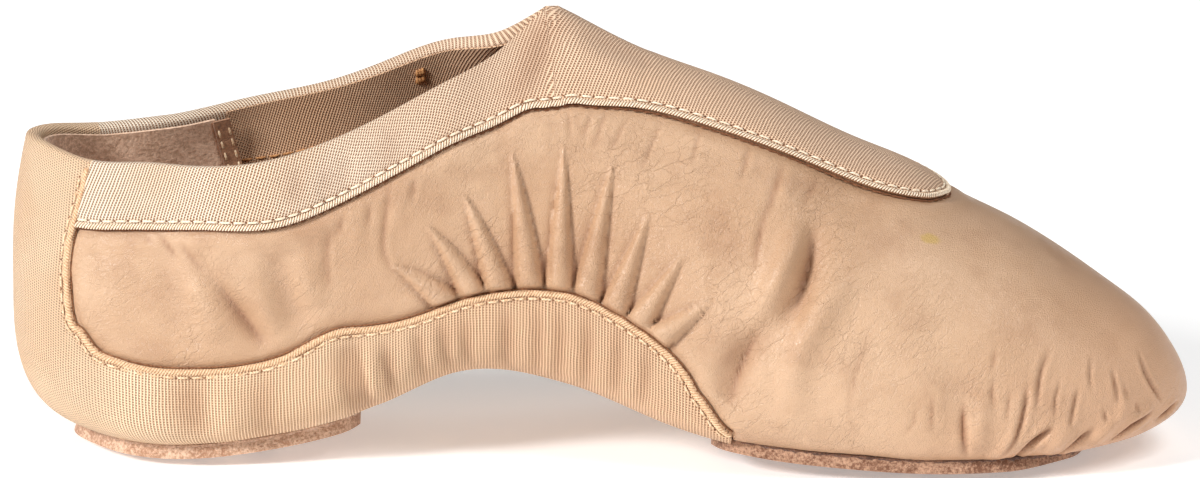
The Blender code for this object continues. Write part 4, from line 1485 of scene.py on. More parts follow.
GORE_FOLDS: tuple[FoldRow, ...] = (
    (SOFT, 3.4, -0.85, ((0.457, 1.96), (0.447, 1.85), (0.439, 1.76), (0.42, 1.7))),
    (SOFT, 4.0, 0.6, ((0.469, 1.78), (0.497, 1.796), (0.535, 1.832))),
    (SOFT, 3.4, -0.45, ((0.473, 1.86), (0.507, 1.88), (0.543, 1.9))),
    (SOFT, 2.2, -0.4, ((0.266, 1.93), (0.262, 1.747))),
    (SOFT, 2.0, -0.36, ((0.285, 1.93), (0.277, 1.756))),
    (SOFT, 2.2, -0.34, ((0.241, 1.96), (0.238, 1.792))),
    (SOFT, 2.4, -0.36, ((0.324, 1.94), (0.316, 1.747))),
    (SOFT, 2.4, 0.34, ((0.295, 1.94), (0.291, 1.76))),
)


def folds_of(rows: Sequence[FoldRow], side: Side = Side.NEAR, share: float = 1.0) -> list[Fold]:
    """Makes folds from a table's rows.

    Args:
        rows: Kind, width and rise in millimetres, and way of each fold.
        side: The side of the foot.
        share: How much of the rise is kept.

    Returns:
        The folds.
    """
    return [Fold(kind, way, width * MILLIMETRE, rise * share * MILLIMETRE, side)
            for kind, width, rise, way in rows]


def relief(last: Last, folds: Sequence[Fold], places: Array) -> Array:
    """The folds' lifts together, at points of the last."""
    return sum((fold.height(last, places) for fold in folds), np.zeros(places.shape[:-1]))


@dataclass
class LeatherUpper:
    """The lasted leather wall with its pleats, creases and toe gathers."""

    last: Last
    cells: Pairs = (
        (0.0, 0.002), (0.06, 0.0016), (0.1, 0.0009), (0.29, 0.0009), (0.31, 0.00052), (0.61, 0.00052),
        (0.64, 0.0009), (0.79, 0.0009), (0.82, 0.0005), (0.97, 0.0005), (1.0, 0.0009),
    )
    lowest_shown: Pairs = (
        (0.0, 1.3), (0.045, 1.25), (0.056, 1.1), (0.094, 1.02), (0.28, 1.04), (0.33, 1.0), (0.5, 1.03),
        (0.57, 0.98), (0.595, 0.8), (0.62, 0.42), (0.9, 0.4), (0.93, 0.12), (1.0, 0.12),
    )
    highest_shown: Pairs = (
        (0.0, 1.8), (0.4, 1.76), (0.45, 1.7), (0.52, 1.76), (0.58, 1.8), (0.75, 1.84), (0.8, 1.97),
        (1.0, 1.97),
    )
    near_rows: int = 86
    far_rows: int = 20
    hidden_rows: int = 3
    pleat_half: float = 0.0031
    pleat_rise: float = 0.0026
    quarter_share: float = 1.15
    toe_share: float = 1.65
    far_folds: int = 5
    far_quarter_share: float = 0.5
    far_toe_share: float = 1.2
    full_crease: float = 0.00065
    full_trough: float = 0.0016
    ripple: float = 0.00011
    stitch_press: float = 0.00034
    seam_swell: Pair = (0.0030, 0.0018)

    def folds(self, side: Side) -> list[Fold]:
        """The side's folds: all of them on the inner side, a few soft ones on the outer.

        Args:
            side: The side of the foot.

        Returns:
            The folds.
        """
        if side is Side.FAR:
            toe = folds_of(TOE_GATHERS, side, self.far_toe_share)
            return toe + folds_of(QUARTER_FOLDS[:self.far_folds], side, self.far_quarter_share)
        pleats = [Fold(FoldKind.TUBE, way, self.pleat_half, self.pleat_rise) for way in PLEATS]
        quarter = folds_of(QUARTER_FOLDS, share=self.quarter_share)
        return pleats + quarter + folds_of(TOE_GATHERS, share=self.toe_share)

    def rows(self, stations: Array, count: int) -> Array:
        """Girths of each column's rows, with most of them where the leather shows.

        Args:
            stations: The columns.
            count: How many rows show.

        Returns:
            Girths, columns by rows.
        """
        edge = self.last.opening_girth(stations)
        low = np.interp(stations, *np.transpose(self.lowest_shown))
        high = np.interp(stations, *np.transpose(self.highest_shown))
        top = np.full_like(stations, 2.0)
        parts = []
        for first, last, steps in ((edge, low, self.hidden_rows), (low, high, count),
                                   (high, top, self.hidden_rows)):
            share = shares(steps)[None, (0 if first is edge else 1):]
            parts.append(first[:, None] * (1.0 - share) + last[:, None] * share)
        return np.hstack(parts)

    @staticmethod
    def covered(station: Array, girth: Array) -> Array:
        """Where the gore, the panel or a pad lies over the leather.

        Args:
            station: Stations.
            girth: Girths, of the same shape.

        Returns:
            True at each covered place.
        """
        under_panel = (girth < PANEL_EDGE.read("girth", np.clip(station, PANEL_START, PANEL_FRONT)))
        under_panel &= station < PANEL_FRONT
        under_gore = girth > GORE_EDGE.read("girth", np.clip(station, GORE_START, GORE_END)) + 0.005
        under_gore &= station < GORE_END
        return under_panel | under_gore | (station < counter_edge(girth)) | (girth < 0.30)

    def side_sheet(self, side: Side, stations: Array, seams: Sequence[Line]) -> Piece:
        """One side's outer sheet.

        Args:
            side: The side of the foot.
            stations: The columns.
            seams: The stitched edges that press the leather down.

        Returns:
            The sheet.
        """
        last = self.last
        girth = self.rows(stations, self.near_rows if side is Side.NEAR else self.far_rows)
        station = np.broadcast_to(stations[:, None], girth.shape)
        places = last.point(side, station, girth)
        folds = self.folds(side)
        sharp = relief(last, [fold for fold in folds if fold.kind is not FoldKind.SOFT], places)
        soft = relief(last, [fold for fold in folds if fold.kind is FoldKind.SOFT], places)
        lift = sharp + soft
        # How deep in a crease each point lies, which paints shade into the colour and roughens it: full in
        # the sharp creases, less in the soft troughs
        depth = np.clip(-sharp / self.full_crease, 0.0, 1.0)
        depth += 0.30 * np.clip(-soft / self.full_trough, 0.0, 1.0)
        slack = smoothstep(0.0, 0.5, girth) * (1.0 - smoothstep(0.96, 1.0, station))
        x, _, z = np.moveaxis(places / MILLIMETRE, -1, 0)
        lift += slack * self.ripple * (np.sin(x / 5.1 + z / 9.0) + np.sin(z / 4.3 - x / 11.0 + 1.7)
                                       + 0.6 * np.sin(x / 2.6 + z / 3.7 + 0.6))
        swell_at, swell_width = self.seam_swell
        for seam in seams:
            apart, _ = seam.distance(places, 0.010)
            lift = np.where(lift > 0.0, lift * (0.15 + 0.85 * smoothstep(0.0003, 0.0016, apart)), lift)
            swell = np.exp(-((apart - swell_at) / swell_width) ** 2)
            groove = np.exp(-(apart / 0.0008) ** 2)
            lift += self.stitch_press * (swell - groove) * (apart < 0.0099)
            # A thin line of painted shade along each stitched edge
            depth += 0.25 * np.exp(-(apart / 0.0006) ** 2)
        lift = np.where(self.covered(station, girth), np.clip(lift, -0.0004, -0.0001), lift)
        lift *= smoothstep(0.0, 0.006, 1.0 - station)
        places = places + last.normal(side, station, girth) * lift[..., None]
        cloth = Unrolled(last, side).read(station, girth)
        if side is Side.FAR:
            cloth = cloth + np.array((0.4, 0.0))
        return Bench.lay_side("leather_side", side, places, cloth, depth)

    def build(self, wardrobe: Wardrobe, seams: Sequence[Line]) -> None:
        """Makes the wall and puts it in place of the solid.

        Args:
            wardrobe: The materials.
            seams: The stitched edges that press the leather down.
        """
        stations = self.last.columns(0.0, 1.0, self.cells)
        sheets = [self.side_sheet(side, stations, seams) for side in Side]
        wall = Bench.join("leather_upper", sheets)
        Bench.thicken(wall, self.last.wall, inner_slot=1)
        Bench.smooth(wall, 60.0)
        Bench.dress(wall, (wardrobe.leather, wardrobe.flesh), "tan_leather", "upper")


@dataclass
class StretchCloth:
    """What the gore and the heel panel share: cloth over the leather, rolled over the collar's rim."""

    last: Last
    cell: float = 0.0009
    roll_rise: float = 0.0007
    roll_inside: float = 0.0018
    band: float = 0.0026
    roll_steps: int = 8
    band_steps: int = 3
    weld: float = 3e-5
    full_fold: float = 0.0010
    stitch_press: float = 0.00042
    stitch_inward: float = 0.00175
    stitch_width: float = 0.00050
    edge_width: float = 0.0013
    edge_lift: float = 0.0007

    @property
    def lift(self) -> float:
        """Height of the cloth's outside over the leather."""
        return self.last.gap + self.last.cloth

    def outer(self, side: Side, station: Array, girth: Array, folds: Sequence[Fold],
              edges: Sequence[Line]) -> tuple[Array, Array]:
        """The cloth's outside, pressed down along its stitched edges.

        Args:
            side: The side of the foot.
            station: Stations of the grid.
            girth: Girths of the grid.
            folds: The cloth's folds.
            edges: Its stitched edges.

        Returns:
            Points of the grid, and how deep in a fold each one lies.
        """
        places = self.last.point(side, station, girth)
        folded = relief(self.last, folds, places)
        # The fold depth paints shade into the cloth's colour
        depth = np.clip(-folded / self.full_fold, 0.0, 1.0)
        lift = self.lift + np.maximum(folded, -0.95 * self.last.cloth)
        for edge in edges:
            apart, _ = edge.distance(places, 0.006)
            lift -= self.stitch_press * np.exp(-((apart - self.stitch_inward) / self.stitch_width) ** 2)
            lift = np.where(apart < self.edge_width, np.minimum(lift, self.edge_lift), lift)
        return places + self.last.normal(side, station, girth) * lift[..., None], depth

    def roll(self, side: Side, stations: Array) -> tuple[Array, Array]:
        """The cloth where it turns over the rim and down inside.

        Args:
            side: The side of the foot.
            stations: The columns.

        Returns:
            Points and cloth coordinates, columns by rows, starting at the top of the outside.
        """
        last = self.last
        rim = last.point(side, stations, 2.0)
        out = last.normal(side, stations, 2.0)
        rise = unit(rim - last.point(side, stations, 1.97))
        middle = 0.5 * (self.lift - self.roll_inside)
        half = 0.5 * (self.lift + self.roll_inside)
        angle = np.linspace(0.0, math.pi, self.roll_steps + 1)
        down = np.linspace(0.0, self.band, self.band_steps + 1)[1:]
        outward = np.concatenate([middle + half * np.cos(angle), np.full(self.band_steps, middle - half)])
        upward = np.concatenate([self.roll_rise * np.sin(angle), -down])
        places = rim[:, None] + out[:, None] * outward[:, None] + rise[:, None] * upward[:, None]
        around = run_length(np.stack([outward, upward], axis=-1))
        start = Unrolled(last, side).read(stations, np.full_like(stations, 2.0))
        cloth = np.stack(np.broadcast_arrays(start[:, :1], start[:, 1:] + around[None, :]), axis=-1)
        return places, cloth

    def patch(self, name: str, side: Side, station: Array, girth: Array,
              laid: tuple[Array, Array]) -> Piece:
        """Lays a grid of cloth with its own coordinates, facing outwards."""
        places, depth = laid
        return Bench.lay_side(name, side, places, Unrolled(self.last, side).read(station, girth), depth)

    def roll_patch(self, name: str, side: Side, stations: Array) -> Piece:
        """Lays the grid that turns over the rim."""
        return Bench.lay_side(name, side, *self.roll(side, stations))


@dataclass(frozen=True)
class Row:
    """One row of sewing: its piece's name, its lines, its finish and the record's material slot."""

    name: str
    lines: Sequence[Line]
    finish: Material
    slot: str


@dataclass
class EdgeTrim:
    """The turned, braided edge along a seam, the stitches beside it and the painted shadow line under it."""

    half_width: float = 0.00064
    half_height: float = 0.00055
    seat: float = 0.00062
    sides: int = 10
    braid_pitch: float = 0.00062
    braid_radius: float = 0.00018
    braid_slant: float = 0.75
    stitch_length: float = 0.0024
    stitch_gap: float = 0.0005
    stitch_radius: float = 0.00021
    stitch_inward: float = 0.00172
    stitch_lift: float = 0.00118
    stitch_dip: float = 0.00034
    seam_shadow_radius: float = 0.00019
    seam_shadow_outward: float = 0.00012
    hole_size: float = 0.00020
    bite_pitch: float = 0.0021
    bite_half: tuple[float, float, float] = (0.00060, 0.00016, 0.00014)
    bite_outward: float = 0.00042

    def __post_init__(self) -> None:
        """Models the one small bar that every braid thread, stitch and needle hole is a copy of."""
        Bench.clear()
        bpy.ops.mesh.primitive_uv_sphere_add(segments=6, ring_count=6, radius=1.0,
                                             rotation=(0.0, math.radians(90.0), 0.0))
        bpy.ops.object.transform_apply(location=False, rotation=True, scale=True)
        ball = bpy.context.object
        points = Bench.points(ball)
        faces = [tuple(face.vertices) for face in ball.data.polygons]
        bpy.data.objects.remove(ball, do_unlink=True)
        self.faces = np.array([(f[0], f[i], f[i + 1]) for f in faces for i in range(1, len(f) - 1)])
        self.along = np.sign(points[:, 0]) * abs(points[:, 0]) ** 0.6
        self.side = points[:, 1]
        self.up = points[:, 2]

    def strew(self, row: Row, pitch: float, shape: tuple[Array, Array, Array], offset: float = 0.5) -> None:
        """Lays copies of the small bar along lines.

        Args:
            row: The row of sewing.
            pitch: The distance between copies.
            shape: The bar's points: length along the line, length into the cloth and height.
            offset: Where the first copy lies, in pitches.
        """
        ahead, inward, height = (part[None, :, None] for part in shape)
        places, corners = [], []
        copies = 0
        for line in row.lines:
            length = run_length(line.places)
            starts = np.arange(offset * pitch, length[-1] - 0.5 * pitch, pitch)
            way = (starts[:, None, None] + ahead)[..., 0]
            spine, across, up = (np.stack([np.interp(way, length, part[:, k]) for k in range(3)], axis=-1)
                                 for part in (line.places, line.across(), line.normals))
            places.append((spine + across * inward + up * height).reshape(-1, 3))
            firsts = (copies + np.arange(len(starts))) * len(self.along)
            corners.append((firsts[:, None, None] + self.faces[None]).reshape(-1, 3))
            copies += len(starts)
        mesh = bpy.data.meshes.new(row.name)
        mesh.from_pydata(np.vstack(places).tolist(), [], np.vstack(corners).tolist())
        piece = bpy.data.objects.new(row.name, mesh)
        bpy.context.scene.collection.objects.link(piece)
        Bench.smooth(piece)
        Bench.dress(piece, (row.finish,), row.slot)

    def swept(self, row: Row, profile: Sequence[Pair],
              size: Callable[[Array], Array] | None = None) -> None:
        """Sweeps a closed bead along each line of a row.

        Args:
            row: The row of sewing.
            profile: Points of the profile, each a length into the cloth and a length up from it.
            size: A scale of the profile at each share of the way.
        """
        bead = Bench.join(row.name, [sweep(row.name, line, profile, size) for line in row.lines], weld=0.0)
        self.close_ends(bead)
        Bench.smooth(bead)
        Bench.dress(bead, (row.finish,), row.slot)

    def bead(self, row: Row, braid: Material) -> None:
        """Makes the turned edge as a flattened bead with slanted threads over it.

        Args:
            row: The bead's row of sewing.
            braid: The finish of the threads.
        """
        # The bead's finish is painted dark, as shade in the gaps between the braid threads
        self.swept(row, oval(-self.half_width, self.half_height, self.sides, (self.half_width, self.seat)))
        turn = math.radians(90.0) + math.radians(76.0) * self.along
        outward = self.up * self.braid_radius
        shape = (self.braid_slant * self.half_width * self.along + self.side * self.braid_radius * 1.25,
                 self.half_width - (self.half_width + outward) * np.cos(turn),
                 self.seat + (self.half_height + outward) * np.sin(turn))
        self.strew(replace(row, name=row.name + "_braid", finish=braid), self.braid_pitch, shape)

    def stitches(self, row: Row) -> None:
        """Sews a row of long stitches that arch up and dip at both ends."""
        shape = (0.5 * self.stitch_length * self.along,
                 self.stitch_inward + self.side * self.stitch_radius * 1.2,
                 self.stitch_lift + self.up * self.stitch_radius - self.stitch_dip * self.along ** 4)
        self.strew(row, self.stitch_length + self.stitch_gap, shape)

    def needle_holes(self, row: Row) -> None:
        """Puts a needle hole between each two stitches: a small dark bar of painted shade."""
        shape = (self.hole_size * self.along,
                 self.stitch_inward + 0.5 * self.hole_size + self.side * self.hole_size,
                 self.stitch_lift - 1.1 * self.hole_size + self.up * self.hole_size)
        self.strew(row, self.stitch_length + self.stitch_gap, shape, offset=1.0)

    def bites(self, row: Row) -> None:
        """Lays the short dark stitches on the leather just outside an edge."""
        long, wide, tall = self.bite_half
        shape = (long * self.along, self.side * wide - self.bite_outward, 0.00006 + self.up * tall)
        self.strew(row, self.bite_pitch, shape)

    def seam(self, row: Row) -> None:
        """Lays a line of painted shadow between an edge and the leather, uneven as sewn leather lies."""
        profile = oval(self.seam_shadow_radius, self.seam_shadow_radius, 6, (-self.seam_shadow_outward, 0.00002))
        self.swept(row, profile, lambda way: 1.0 + 0.25 * np.sin(way * 530.0))

    @staticmethod
    def close_ends(piece: Piece) -> None:
        """Fills a swept piece's open ends and turns its faces outwards."""
        Bench.choose(piece)
        bpy.ops.object.mode_set(mode="EDIT")
        bpy.ops.mesh.select_mode(type="EDGE")
        bpy.ops.mesh.select_all(action="DESELECT")
        bpy.ops.mesh.select_non_manifold(extend=False, use_wire=False, use_multi_face=False,
                                         use_non_contiguous=False, use_verts=False)
        bpy.ops.mesh.edge_face_add()
        bpy.ops.mesh.select_all(action="SELECT")
        bpy.ops.mesh.normals_make_consistent(inside=False)
        bpy.ops.mesh.select_mode(type="VERT")
        bpy.ops.object.mode_set(mode="OBJECT")


@dataclass
class CollarGore(StretchCloth):
    """The stretch collar on both sides of the throat, down to its blunt end on the vamp."""

    rows: int = 30
    thickness: float = 0.0006
    overlap: float = 0.010
    near_share: float = 1.3
    far_share: float = 0.8

    def build(self, wardrobe: Wardrobe, edge: Line) -> None:
        """Makes the cloth, and puts it in place of the solid.

        Args:
            wardrobe: The materials.
            edge: The gore's stitched edge.
        """
        rear = float(counter_edge(GORE_EDGE.read("girth", GORE_START)))
        front = GORE_END + GORE_TIP[0][0]
        stations = self.last.columns(rear, front, self.cell)
        share = shares(self.rows)
        low = GORE_EDGE.read("girth", np.clip(stations, GORE_START, GORE_END)) + self.overlap
        girth = low[:, None] * (1.0 - share) + 2.0 * share
        fade = 1.0 - smoothstep(rear, 2.5 * rear, stations)
        station = stations[:, None] + (counter_edge(girth) - rear) * fade[:, None]
        sheets = []
        for side in Side:
            folds = folds_of(GORE_FOLDS, side, self.near_share if side is Side.NEAR else self.far_share)
            laid = self.outer(side, station, girth, folds, (edge,))
            sheets.append(self.patch("gore_side", side, station, girth, laid))
            sheets.append(self.roll_patch("gore_roll", side, station[stations <= THROAT, -1]))
        cloth = Bench.join("gore_cloth", sheets, weld=self.weld)
        Bench.thicken(cloth, self.thickness)
        Bench.smooth(cloth, 60.0)
        Bench.dress(cloth, (wardrobe.gore,), "collar_mesh", "collar_gore")


@dataclass
class HeelArchPanel(StretchCloth):
    """The stretch counter round the heel, which runs on under the arch to the forefoot pad."""

    corner_rows: int = 44
    top_rows: int = 16
    back_columns: int = 26
    panel_cell: float = 0.0008
    thickness: float = 0.0008
    near_share: float = 2.3
    far_share: float = 1.3

    def build(self, wardrobe: Wardrobe, edges: Sequence[Line]) -> None:
        """Makes the cloth, and puts it in place of the solid.

        Args:
            wardrobe: The materials.
            edges: The panel's stitched edges.
        """
        columns = self.last.columns(PANEL_START, PANEL_FRONT, self.panel_cell)
        share = shares(self.corner_rows)
        arch_girth = PANEL_EDGE.read("girth", columns)[:, None] * share[None, :]
        arch_station = np.broadcast_to(columns[:, None], arch_girth.shape)
        levels = np.concatenate([COUNTER_CORNER * share,
                                 np.linspace(COUNTER_CORNER, 2.0, self.top_rows + 1)[1:]])
        way = shares(self.back_columns) ** 1.4
        back_station = way[:, None] * counter_edge(levels)[None, :]
        back_girth = np.broadcast_to(levels[None, :], back_station.shape)
        sheets = []
        for side in Side:
            folds = folds_of(PANEL_FOLDS, side, self.near_share if side is Side.NEAR else self.far_share)
            laid = self.outer(side, arch_station, arch_girth, folds, edges)
            sheets.append(self.patch("panel_side", side, arch_station, arch_girth, laid))
            laid = self.outer(side, back_station, back_girth, (), edges)
            sheets.append(self.patch("counter_side", side, back_station, back_girth, laid))
            sheets.append(self.roll_patch("counter_roll", side, back_station[:, -1]))
        cloth = Bench.join("heel_arch_cloth", sheets, weld=self.weld)
        Bench.thicken(cloth, self.thickness)
        Bench.smooth(cloth, 60.0)
        Bench.dress(cloth, (wardrobe.panel,), "heel_mesh", "heel_arch_panel")


@dataclass
class SolePad:
    """A suede sole pad with a rough cut edge, worn flat where it stands."""

    last: Last
    name: str
    node: str
    first: float
    end: float
    edge: Table
    under_cloth: float
    suede: Material
    glue: Material
    front_share: float = 1.0
    taper: float = 0.07
    cell: float = 0.0008
    rows: int = 34
    glue_inset: float = 0.0002
    glue_half: Pair = (0.00056, 0.00046)

    def build(self) -> None:
        """Makes the pad in place of its solid, and the fuzzy line of glue round its upper edge."""
        stations = self.last.columns(self.first, self.end, self.cell)
        share = np.sin(0.5 * math.pi * shares(self.rows))
        reach = self.edge.read("girth", stations)
        girth = reach[:, None] * share[None, :]
        station = np.broadcast_to(stations[:, None], girth.shape)
        top = self.last.gap + self.under_cloth
        pad = Bench.lay_sides(self.name, self.last, station, girth, top)
        ahead = (Bench.points(pad)[:, 0] - self.last.shift[0]) / self.last.reach
        skived = 1.0 - (1.0 - self.front_share) * smoothstep(self.end - self.taper, self.end, ahead)
        group = pad.vertex_groups.new(name="skiving")
        for index, weight in enumerate(skived):
            group.add([index], float(weight), "REPLACE")
        Bench.thicken(pad, self.last.pad_thickness, outward=1.0, group="skiving")
        places = Bench.points(pad)
        places[:, 2] = np.maximum(places[:, 2], 0.0)
        Bench.set_points(pad, places)
        Bench.smooth(pad, 50.0)
        Bench.dress(pad, (self.suede,), "pad_suede", self.node)
        self.glue_line(stations, reach, top)

    def glue_line(self, stations: Array, reach: Array, top: float) -> None:
        """Lays the uneven line of glue and nap where the pad meets the upper.

        Args:
            stations: The pad's columns.
            reach: The girth of its edge at each column.
            top: Height of its upper face over the last.
        """
        half = [(float(s), float(g)) for s, g in zip(stations, reach)]
        way = [(Side.NEAR, s, g) for s, g in half] + [(Side.FAR, s, g) for s, g in reversed(half)]
        line = Line.on_last(self.last, way, LINE_STEP).moved(-self.glue_inset, top - self.glue_inset)
        glue = sweep(self.name + "_glue", line, oval(*self.glue_half, 7),
                     lambda way: 1.1 + 0.3 * np.sin(way * 260.0) + 0.2 * np.sin(way * 611.0)
                     + 0.3 * np.sin(way * 2300.0) * np.sin(way * 1710.0))
        EdgeTrim.close_ends(glue)
        Bench.smooth(glue)
        Bench.dress(glue, (self.glue,), "pad_suede")


@dataclass
class Inside:
    """What shows through the collar: heel lining, gore facing, insole, seams and the small bar tack."""

    last: Last
    skew: float = 0.055
    slack: float = 0.0012
    cell: float = 0.0012
    leather_gap: float = 0.0001
    lining_end: float = 0.158
    stay: Pair = (0.155, 0.171)
    stay_seams: Pair = (0.158, 0.168)
    facing: Pair = (0.172, 0.52)
    facing_seam: Pair = (0.185, 0.33)
    bars: tuple[float, ...] = (0.3405, 0.3430, 0.3455)
    bar_girths: Pair = (1.855, 1.945)
    thread_depth: float = 0.00118

    def wall_sheet(self, name: str, stations: Array, girths: tuple[Array | float, float], lift: float,
                   thickness: float, skew: float = 0.0) -> Piece:
        """A sheet against the inside of the wall, on both sides.

        Args:
            name: The piece's name.
            stations: The columns.
            girths: The lowest girth of each column, and the highest girth.
            lift: Height of the sheet's outside over the last.
            thickness: The sheet's thickness.
            skew: How far its columns lean forward on their way down.

        Returns:
            The sheet with its thickness.
        """
        low, high = girths
        low = np.broadcast_to(low, stations.shape)
        share = shares(24)
        girth = low[:, None] * (1.0 - share) + high * share
        station = stations[:, None] + skew * (2.0 - girth) * smoothstep(0.0, 0.10, stations[:, None])
        sheet = Bench.lay_sides(name, self.last, station, girth, lift)
        Bench.thicken(sheet, thickness)
        Bench.smooth(sheet, 60.0)
        return sheet

    def sock(self, wardrobe: Wardrobe) -> None:
        """Makes the sock that lies along the whole foot, in place of the solid."""
        stations = self.last.columns(0.0, INSOLE_END, 0.0020)
        share = shares(12)
        girth = INSOLE_EDGE.read("girth", stations)[:, None] * share
        station = np.broadcast_to(stations[:, None], girth.shape)
        lift = -self.last.wall - self.last.insole_clearance
        sock = Bench.lay_sides("insole_sock", self.last, station, girth, lift)
        Bench.thicken(sock, self.last.insole_thickness)
        Bench.smooth(sock, 50.0)
        Bench.dress(sock, (wardrobe.lining,), "insole_cloth", "insole")

    def sewing(self, wardrobe: Wardrobe) -> None:
        """Sews the rows along the gore and the stay, and the small bar tack of the outer side."""
        rows, dots = [], []
        for side in Side:
            way = [(side, float(s), float(GORE_EDGE.read("girth", s)) + 0.010)
                   for s in np.linspace(*self.facing_seam, 120)]
            rows.append(self.inner_line(way))
            for station in self.stay_seams:
                upright = [(side, station + self.skew * (2.0 - g), g) for g in np.linspace(1.55, 1.96, 40)]
                dots.append(self.inner_line(upright, self.slack))
        trim = EdgeTrim(stitch_inward=0.0, stitch_lift=0.0)
        trim.stitches(Row("inside_stitches", rows, wardrobe.tack, "collar_mesh"))
        trim.stitches(Row("stay_stitches", dots, wardrobe.thread, "insole_cloth"))
        bars = [self.inner_line([(Side.FAR, s, float(g)) for g in np.linspace(*self.bar_girths, 16)])
                for s in self.bars]
        tack = replace(trim, stitch_length=0.0022, stitch_gap=0.0, stitch_radius=0.00036)
        tack.stitches(Row("inner_bar_tack", bars, wardrobe.tack, "collar_mesh"))

    def build(self, wardrobe: Wardrobe) -> None:
        """Makes the pieces that show inside the collar."""
        seat = -self.last.wall - self.leather_gap
        back = self.last.columns(0.0, self.lining_end, self.cell)
        lining = self.wall_sheet("heel_lining", back, (0.90, 1.99), seat - self.slack, 0.0005, self.skew)
        Bench.dress(lining, (wardrobe.lining,), "insole_cloth")

        strip = self.last.columns(*self.stay, 0.0010)
        stay = self.wall_sheet("facing_stay", strip, (1.30, 1.985), seat - self.slack - 0.0006, 0.0004,
                               self.skew)
        Bench.dress(stay, (wardrobe.stay,), "insole_cloth")

        front = self.last.columns(*self.facing, self.cell)
        low = GORE_EDGE.read("girth", front) - 0.03
        facing = self.wall_sheet("gore_facing", front, (low, 2.0), seat - 0.0003, 0.0005)
        Bench.dress(facing, (wardrobe.facing,), "collar_mesh")
        self.sock(wardrobe)
        self.sewing(wardrobe)

    def inner_line(self, way: Sequence[Spot], deeper: float = 0.0) -> Line:
        """A line on the face of the linings, whose normals look into the shoe.

        Args:
            way: Side, station and girth of each place.
            deeper: How much further into the shoe the line lies.

        Returns:
            The line.
        """
        line = Line.on_last(self.last, way, LINE_STEP)
        depth = self.last.wall + self.thread_depth + deeper
        return Line(line.places - line.normals * depth, -line.normals)


@dataclass(frozen=True)
class Lamp:
    """A square soft light that looks at the shoe: its place, its side in metres and its power in watts."""

    name: str
    place: tuple[float, float, float]
    size: float
    power: float

    def hang(self, aim: Vector) -> None:
        """Adds the light, turned towards a point."""
        Bench.clear()
        bpy.ops.object.light_add(type="AREA", location=self.place)
        lamp = bpy.context.object
        lamp.name = lamp.data.name = self.name
        lamp.data.shape = "SQUARE"
        lamp.data.size = self.size
        lamp.data.energy = self.power
        lamp.rotation_euler = (aim - Vector(self.place)).to_track_quat("-Z", "Y").to_euler()


@dataclass
class Studio:
    """Floor, lights and camera, as the photograph has them."""

    frame_width: int = 1200
    frame_height: int = 478
    metres_per_pixel: float = 0.245 / 1174.0
    heel_pixel: float = 13.0
    ground_pixel: float = 437.0
    elevation: float = 15.0
    distance: float = 4.0
    sensor: float = 36.0
    lamps: tuple[Lamp, ...] = (
        Lamp("key_light", (-1.55, -1.10, 1.05), 0.45, 47.0),
        Lamp("fill_light", (1.00, -0.80, 1.60), 1.00, 22.0),
        Lamp("back_light", (0.30, 1.30, 1.20), 1.0, 4.0),
    )

    def build(self, last: Last) -> None:
        """Sets up the stage, the lights and the camera."""
        self.floor()
        self.world()
        for lamp in self.lamps:
            lamp.hang(Vector((0.0, 0.0, 0.03)))
        self.camera(last)

    @staticmethod
    def floor() -> None:
        """Lays the plain pale floor."""
        Bench.clear()
        bpy.ops.mesh.primitive_plane_add(size=12.0, location=(0.0, 0.0, -0.0002))
        floor = bpy.context.object
        bpy.ops.object.transform_apply(location=True, rotation=True, scale=True)
        floor.name = floor.data.name = "studio_floor"
        floor.data.materials.append(PlainFinish("pale_floor", (0.95, 0.95, 0.95), glow=0.32).make())

    @staticmethod
    def world() -> None:
        """Fills the room with even white light."""
        world = bpy.data.worlds.new("studio_air")
        world.use_nodes = True
        air = world.node_tree.nodes["Background"]
        air.inputs["Color"].default_value = (1.0, 1.0, 1.0, 1.0)
        air.inputs["Strength"].default_value = 0.12
        bpy.context.scene.world = world
        bpy.context.scene.view_settings.view_transform = "Standard"

    def camera(self, last: Last) -> None:
        """Sets the long lens that gives the photograph's frame."""
        tilt = math.radians(self.elevation)
        middle_x = (0.5 * self.frame_width - self.heel_pixel) * self.metres_per_pixel + float(last.shift[0])
        middle_x -= last.cloth + last.gap
        up = (self.ground_pixel - 0.5 * self.frame_height) * self.metres_per_pixel
        up += float(last.shift[1]) * math.sin(tilt)
        aim = Vector((middle_x, 0.0, up / math.cos(tilt)))
        look = Vector((0.0, math.cos(tilt), -math.sin(tilt)))
        Bench.clear()
        bpy.ops.object.camera_add(location=aim - look * self.distance)
        camera = bpy.context.object
        camera.name = camera.data.name = "studio_camera"
        camera.rotation_euler = look.to_track_quat("-Z", "Y").to_euler()
        camera.data.sensor_width = self.sensor
        camera.data.lens = self.sensor * self.distance / (self.frame_width * self.metres_per_pixel)
        camera.data.clip_end = 50.0
        camera.data.dof.use_dof = False
        bpy.context.scene.camera = camera


def corners(box: object) -> list[list[float]]:
    """A box's two corners as plain lists."""
    return [[float(number) for number in corner] for corner in box]


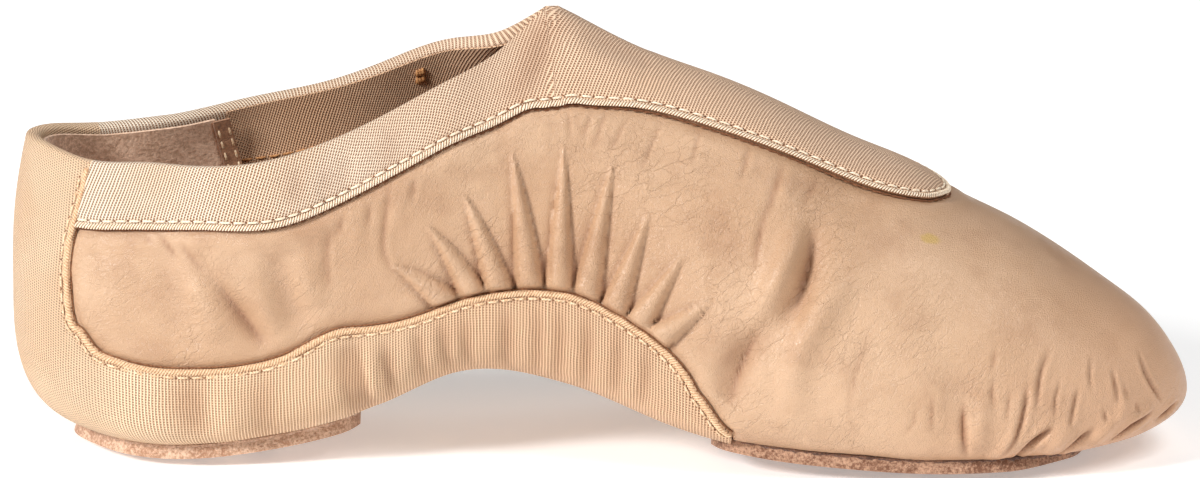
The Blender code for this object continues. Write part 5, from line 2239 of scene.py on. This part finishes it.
def main() -> None:
    """Builds the shoe's pieces in order, then the studio."""
    logging.basicConfig(level=logging.INFO, format="%(name)s: %(message)s")
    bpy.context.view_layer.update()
    last = Last()
    wardrobe = Wardrobe(last)
    gore_edge = Line.on_last(last, gore_edge_way(), LINE_STEP)
    gore_edges = (gore_edge,)
    panel_edges = [Line.on_last(last, panel_edge_way(side), LINE_STEP) for side in Side]
    count = len(gore_edge.places)
    front = slice(int(0.10 * count), int(0.90 * count))
    front_edge = Line(gore_edge.places[front], gore_edge.normals[front])

    LeatherUpper(last).build(wardrobe, [gore_edge, *panel_edges])
    CollarGore(last).build(wardrobe, gore_edge)
    HeelArchPanel(last).build(wardrobe, panel_edges)
    trim = EdgeTrim()
    trim.bead(Row("gore_edge_bead", gore_edges, wardrobe.gore_core_shade, "collar_mesh"), wardrobe.gore_lip)
    trim.bead(Row("panel_edge_bead", panel_edges, wardrobe.panel_core_shade, "heel_mesh"), wardrobe.panel_lip)
    trim.stitches(Row("gore_stitches", gore_edges, wardrobe.gore_lip, "collar_mesh"))
    trim.stitches(Row("panel_stitches", panel_edges, wardrobe.thread, "heel_mesh"))
    trim.needle_holes(Row("gore_needle_holes", gore_edges, wardrobe.gore_seam_shadow, "collar_mesh"))
    trim.needle_holes(Row("panel_needle_holes", panel_edges, wardrobe.panel_seam_shadow, "heel_mesh"))
    # Painted shadow: dark lines where the edges meet the leather
    trim.seam(Row("gore_seam_shadow_line", gore_edges, wardrobe.gore_seam_shadow, "collar_mesh"))
    trim.seam(Row("panel_seam_shadow_line", panel_edges, wardrobe.panel_seam_shadow, "heel_mesh"))
    trim.bites(Row("gore_front_bites", (front_edge,), wardrobe.gore_seam_shadow, "collar_mesh"))
    SolePad(last, "heel_pad", "outsole_heel", 0.0, HEEL_PAD_END, HEEL_PAD_EDGE, last.cloth + last.gap,
            wardrobe.heel_suede, wardrobe.nap).build()
    SolePad(last, "forefoot_pad", "outsole_forefoot", BALL_PAD_START, BALL_PAD_END, BALL_PAD_EDGE, 0.0,
            wardrobe.ball_suede, wardrobe.glue, front_share=0.35).build()
    Inside(last).build(wardrobe)
    Studio().build(last)


if __name__ == "__main__":
    main()
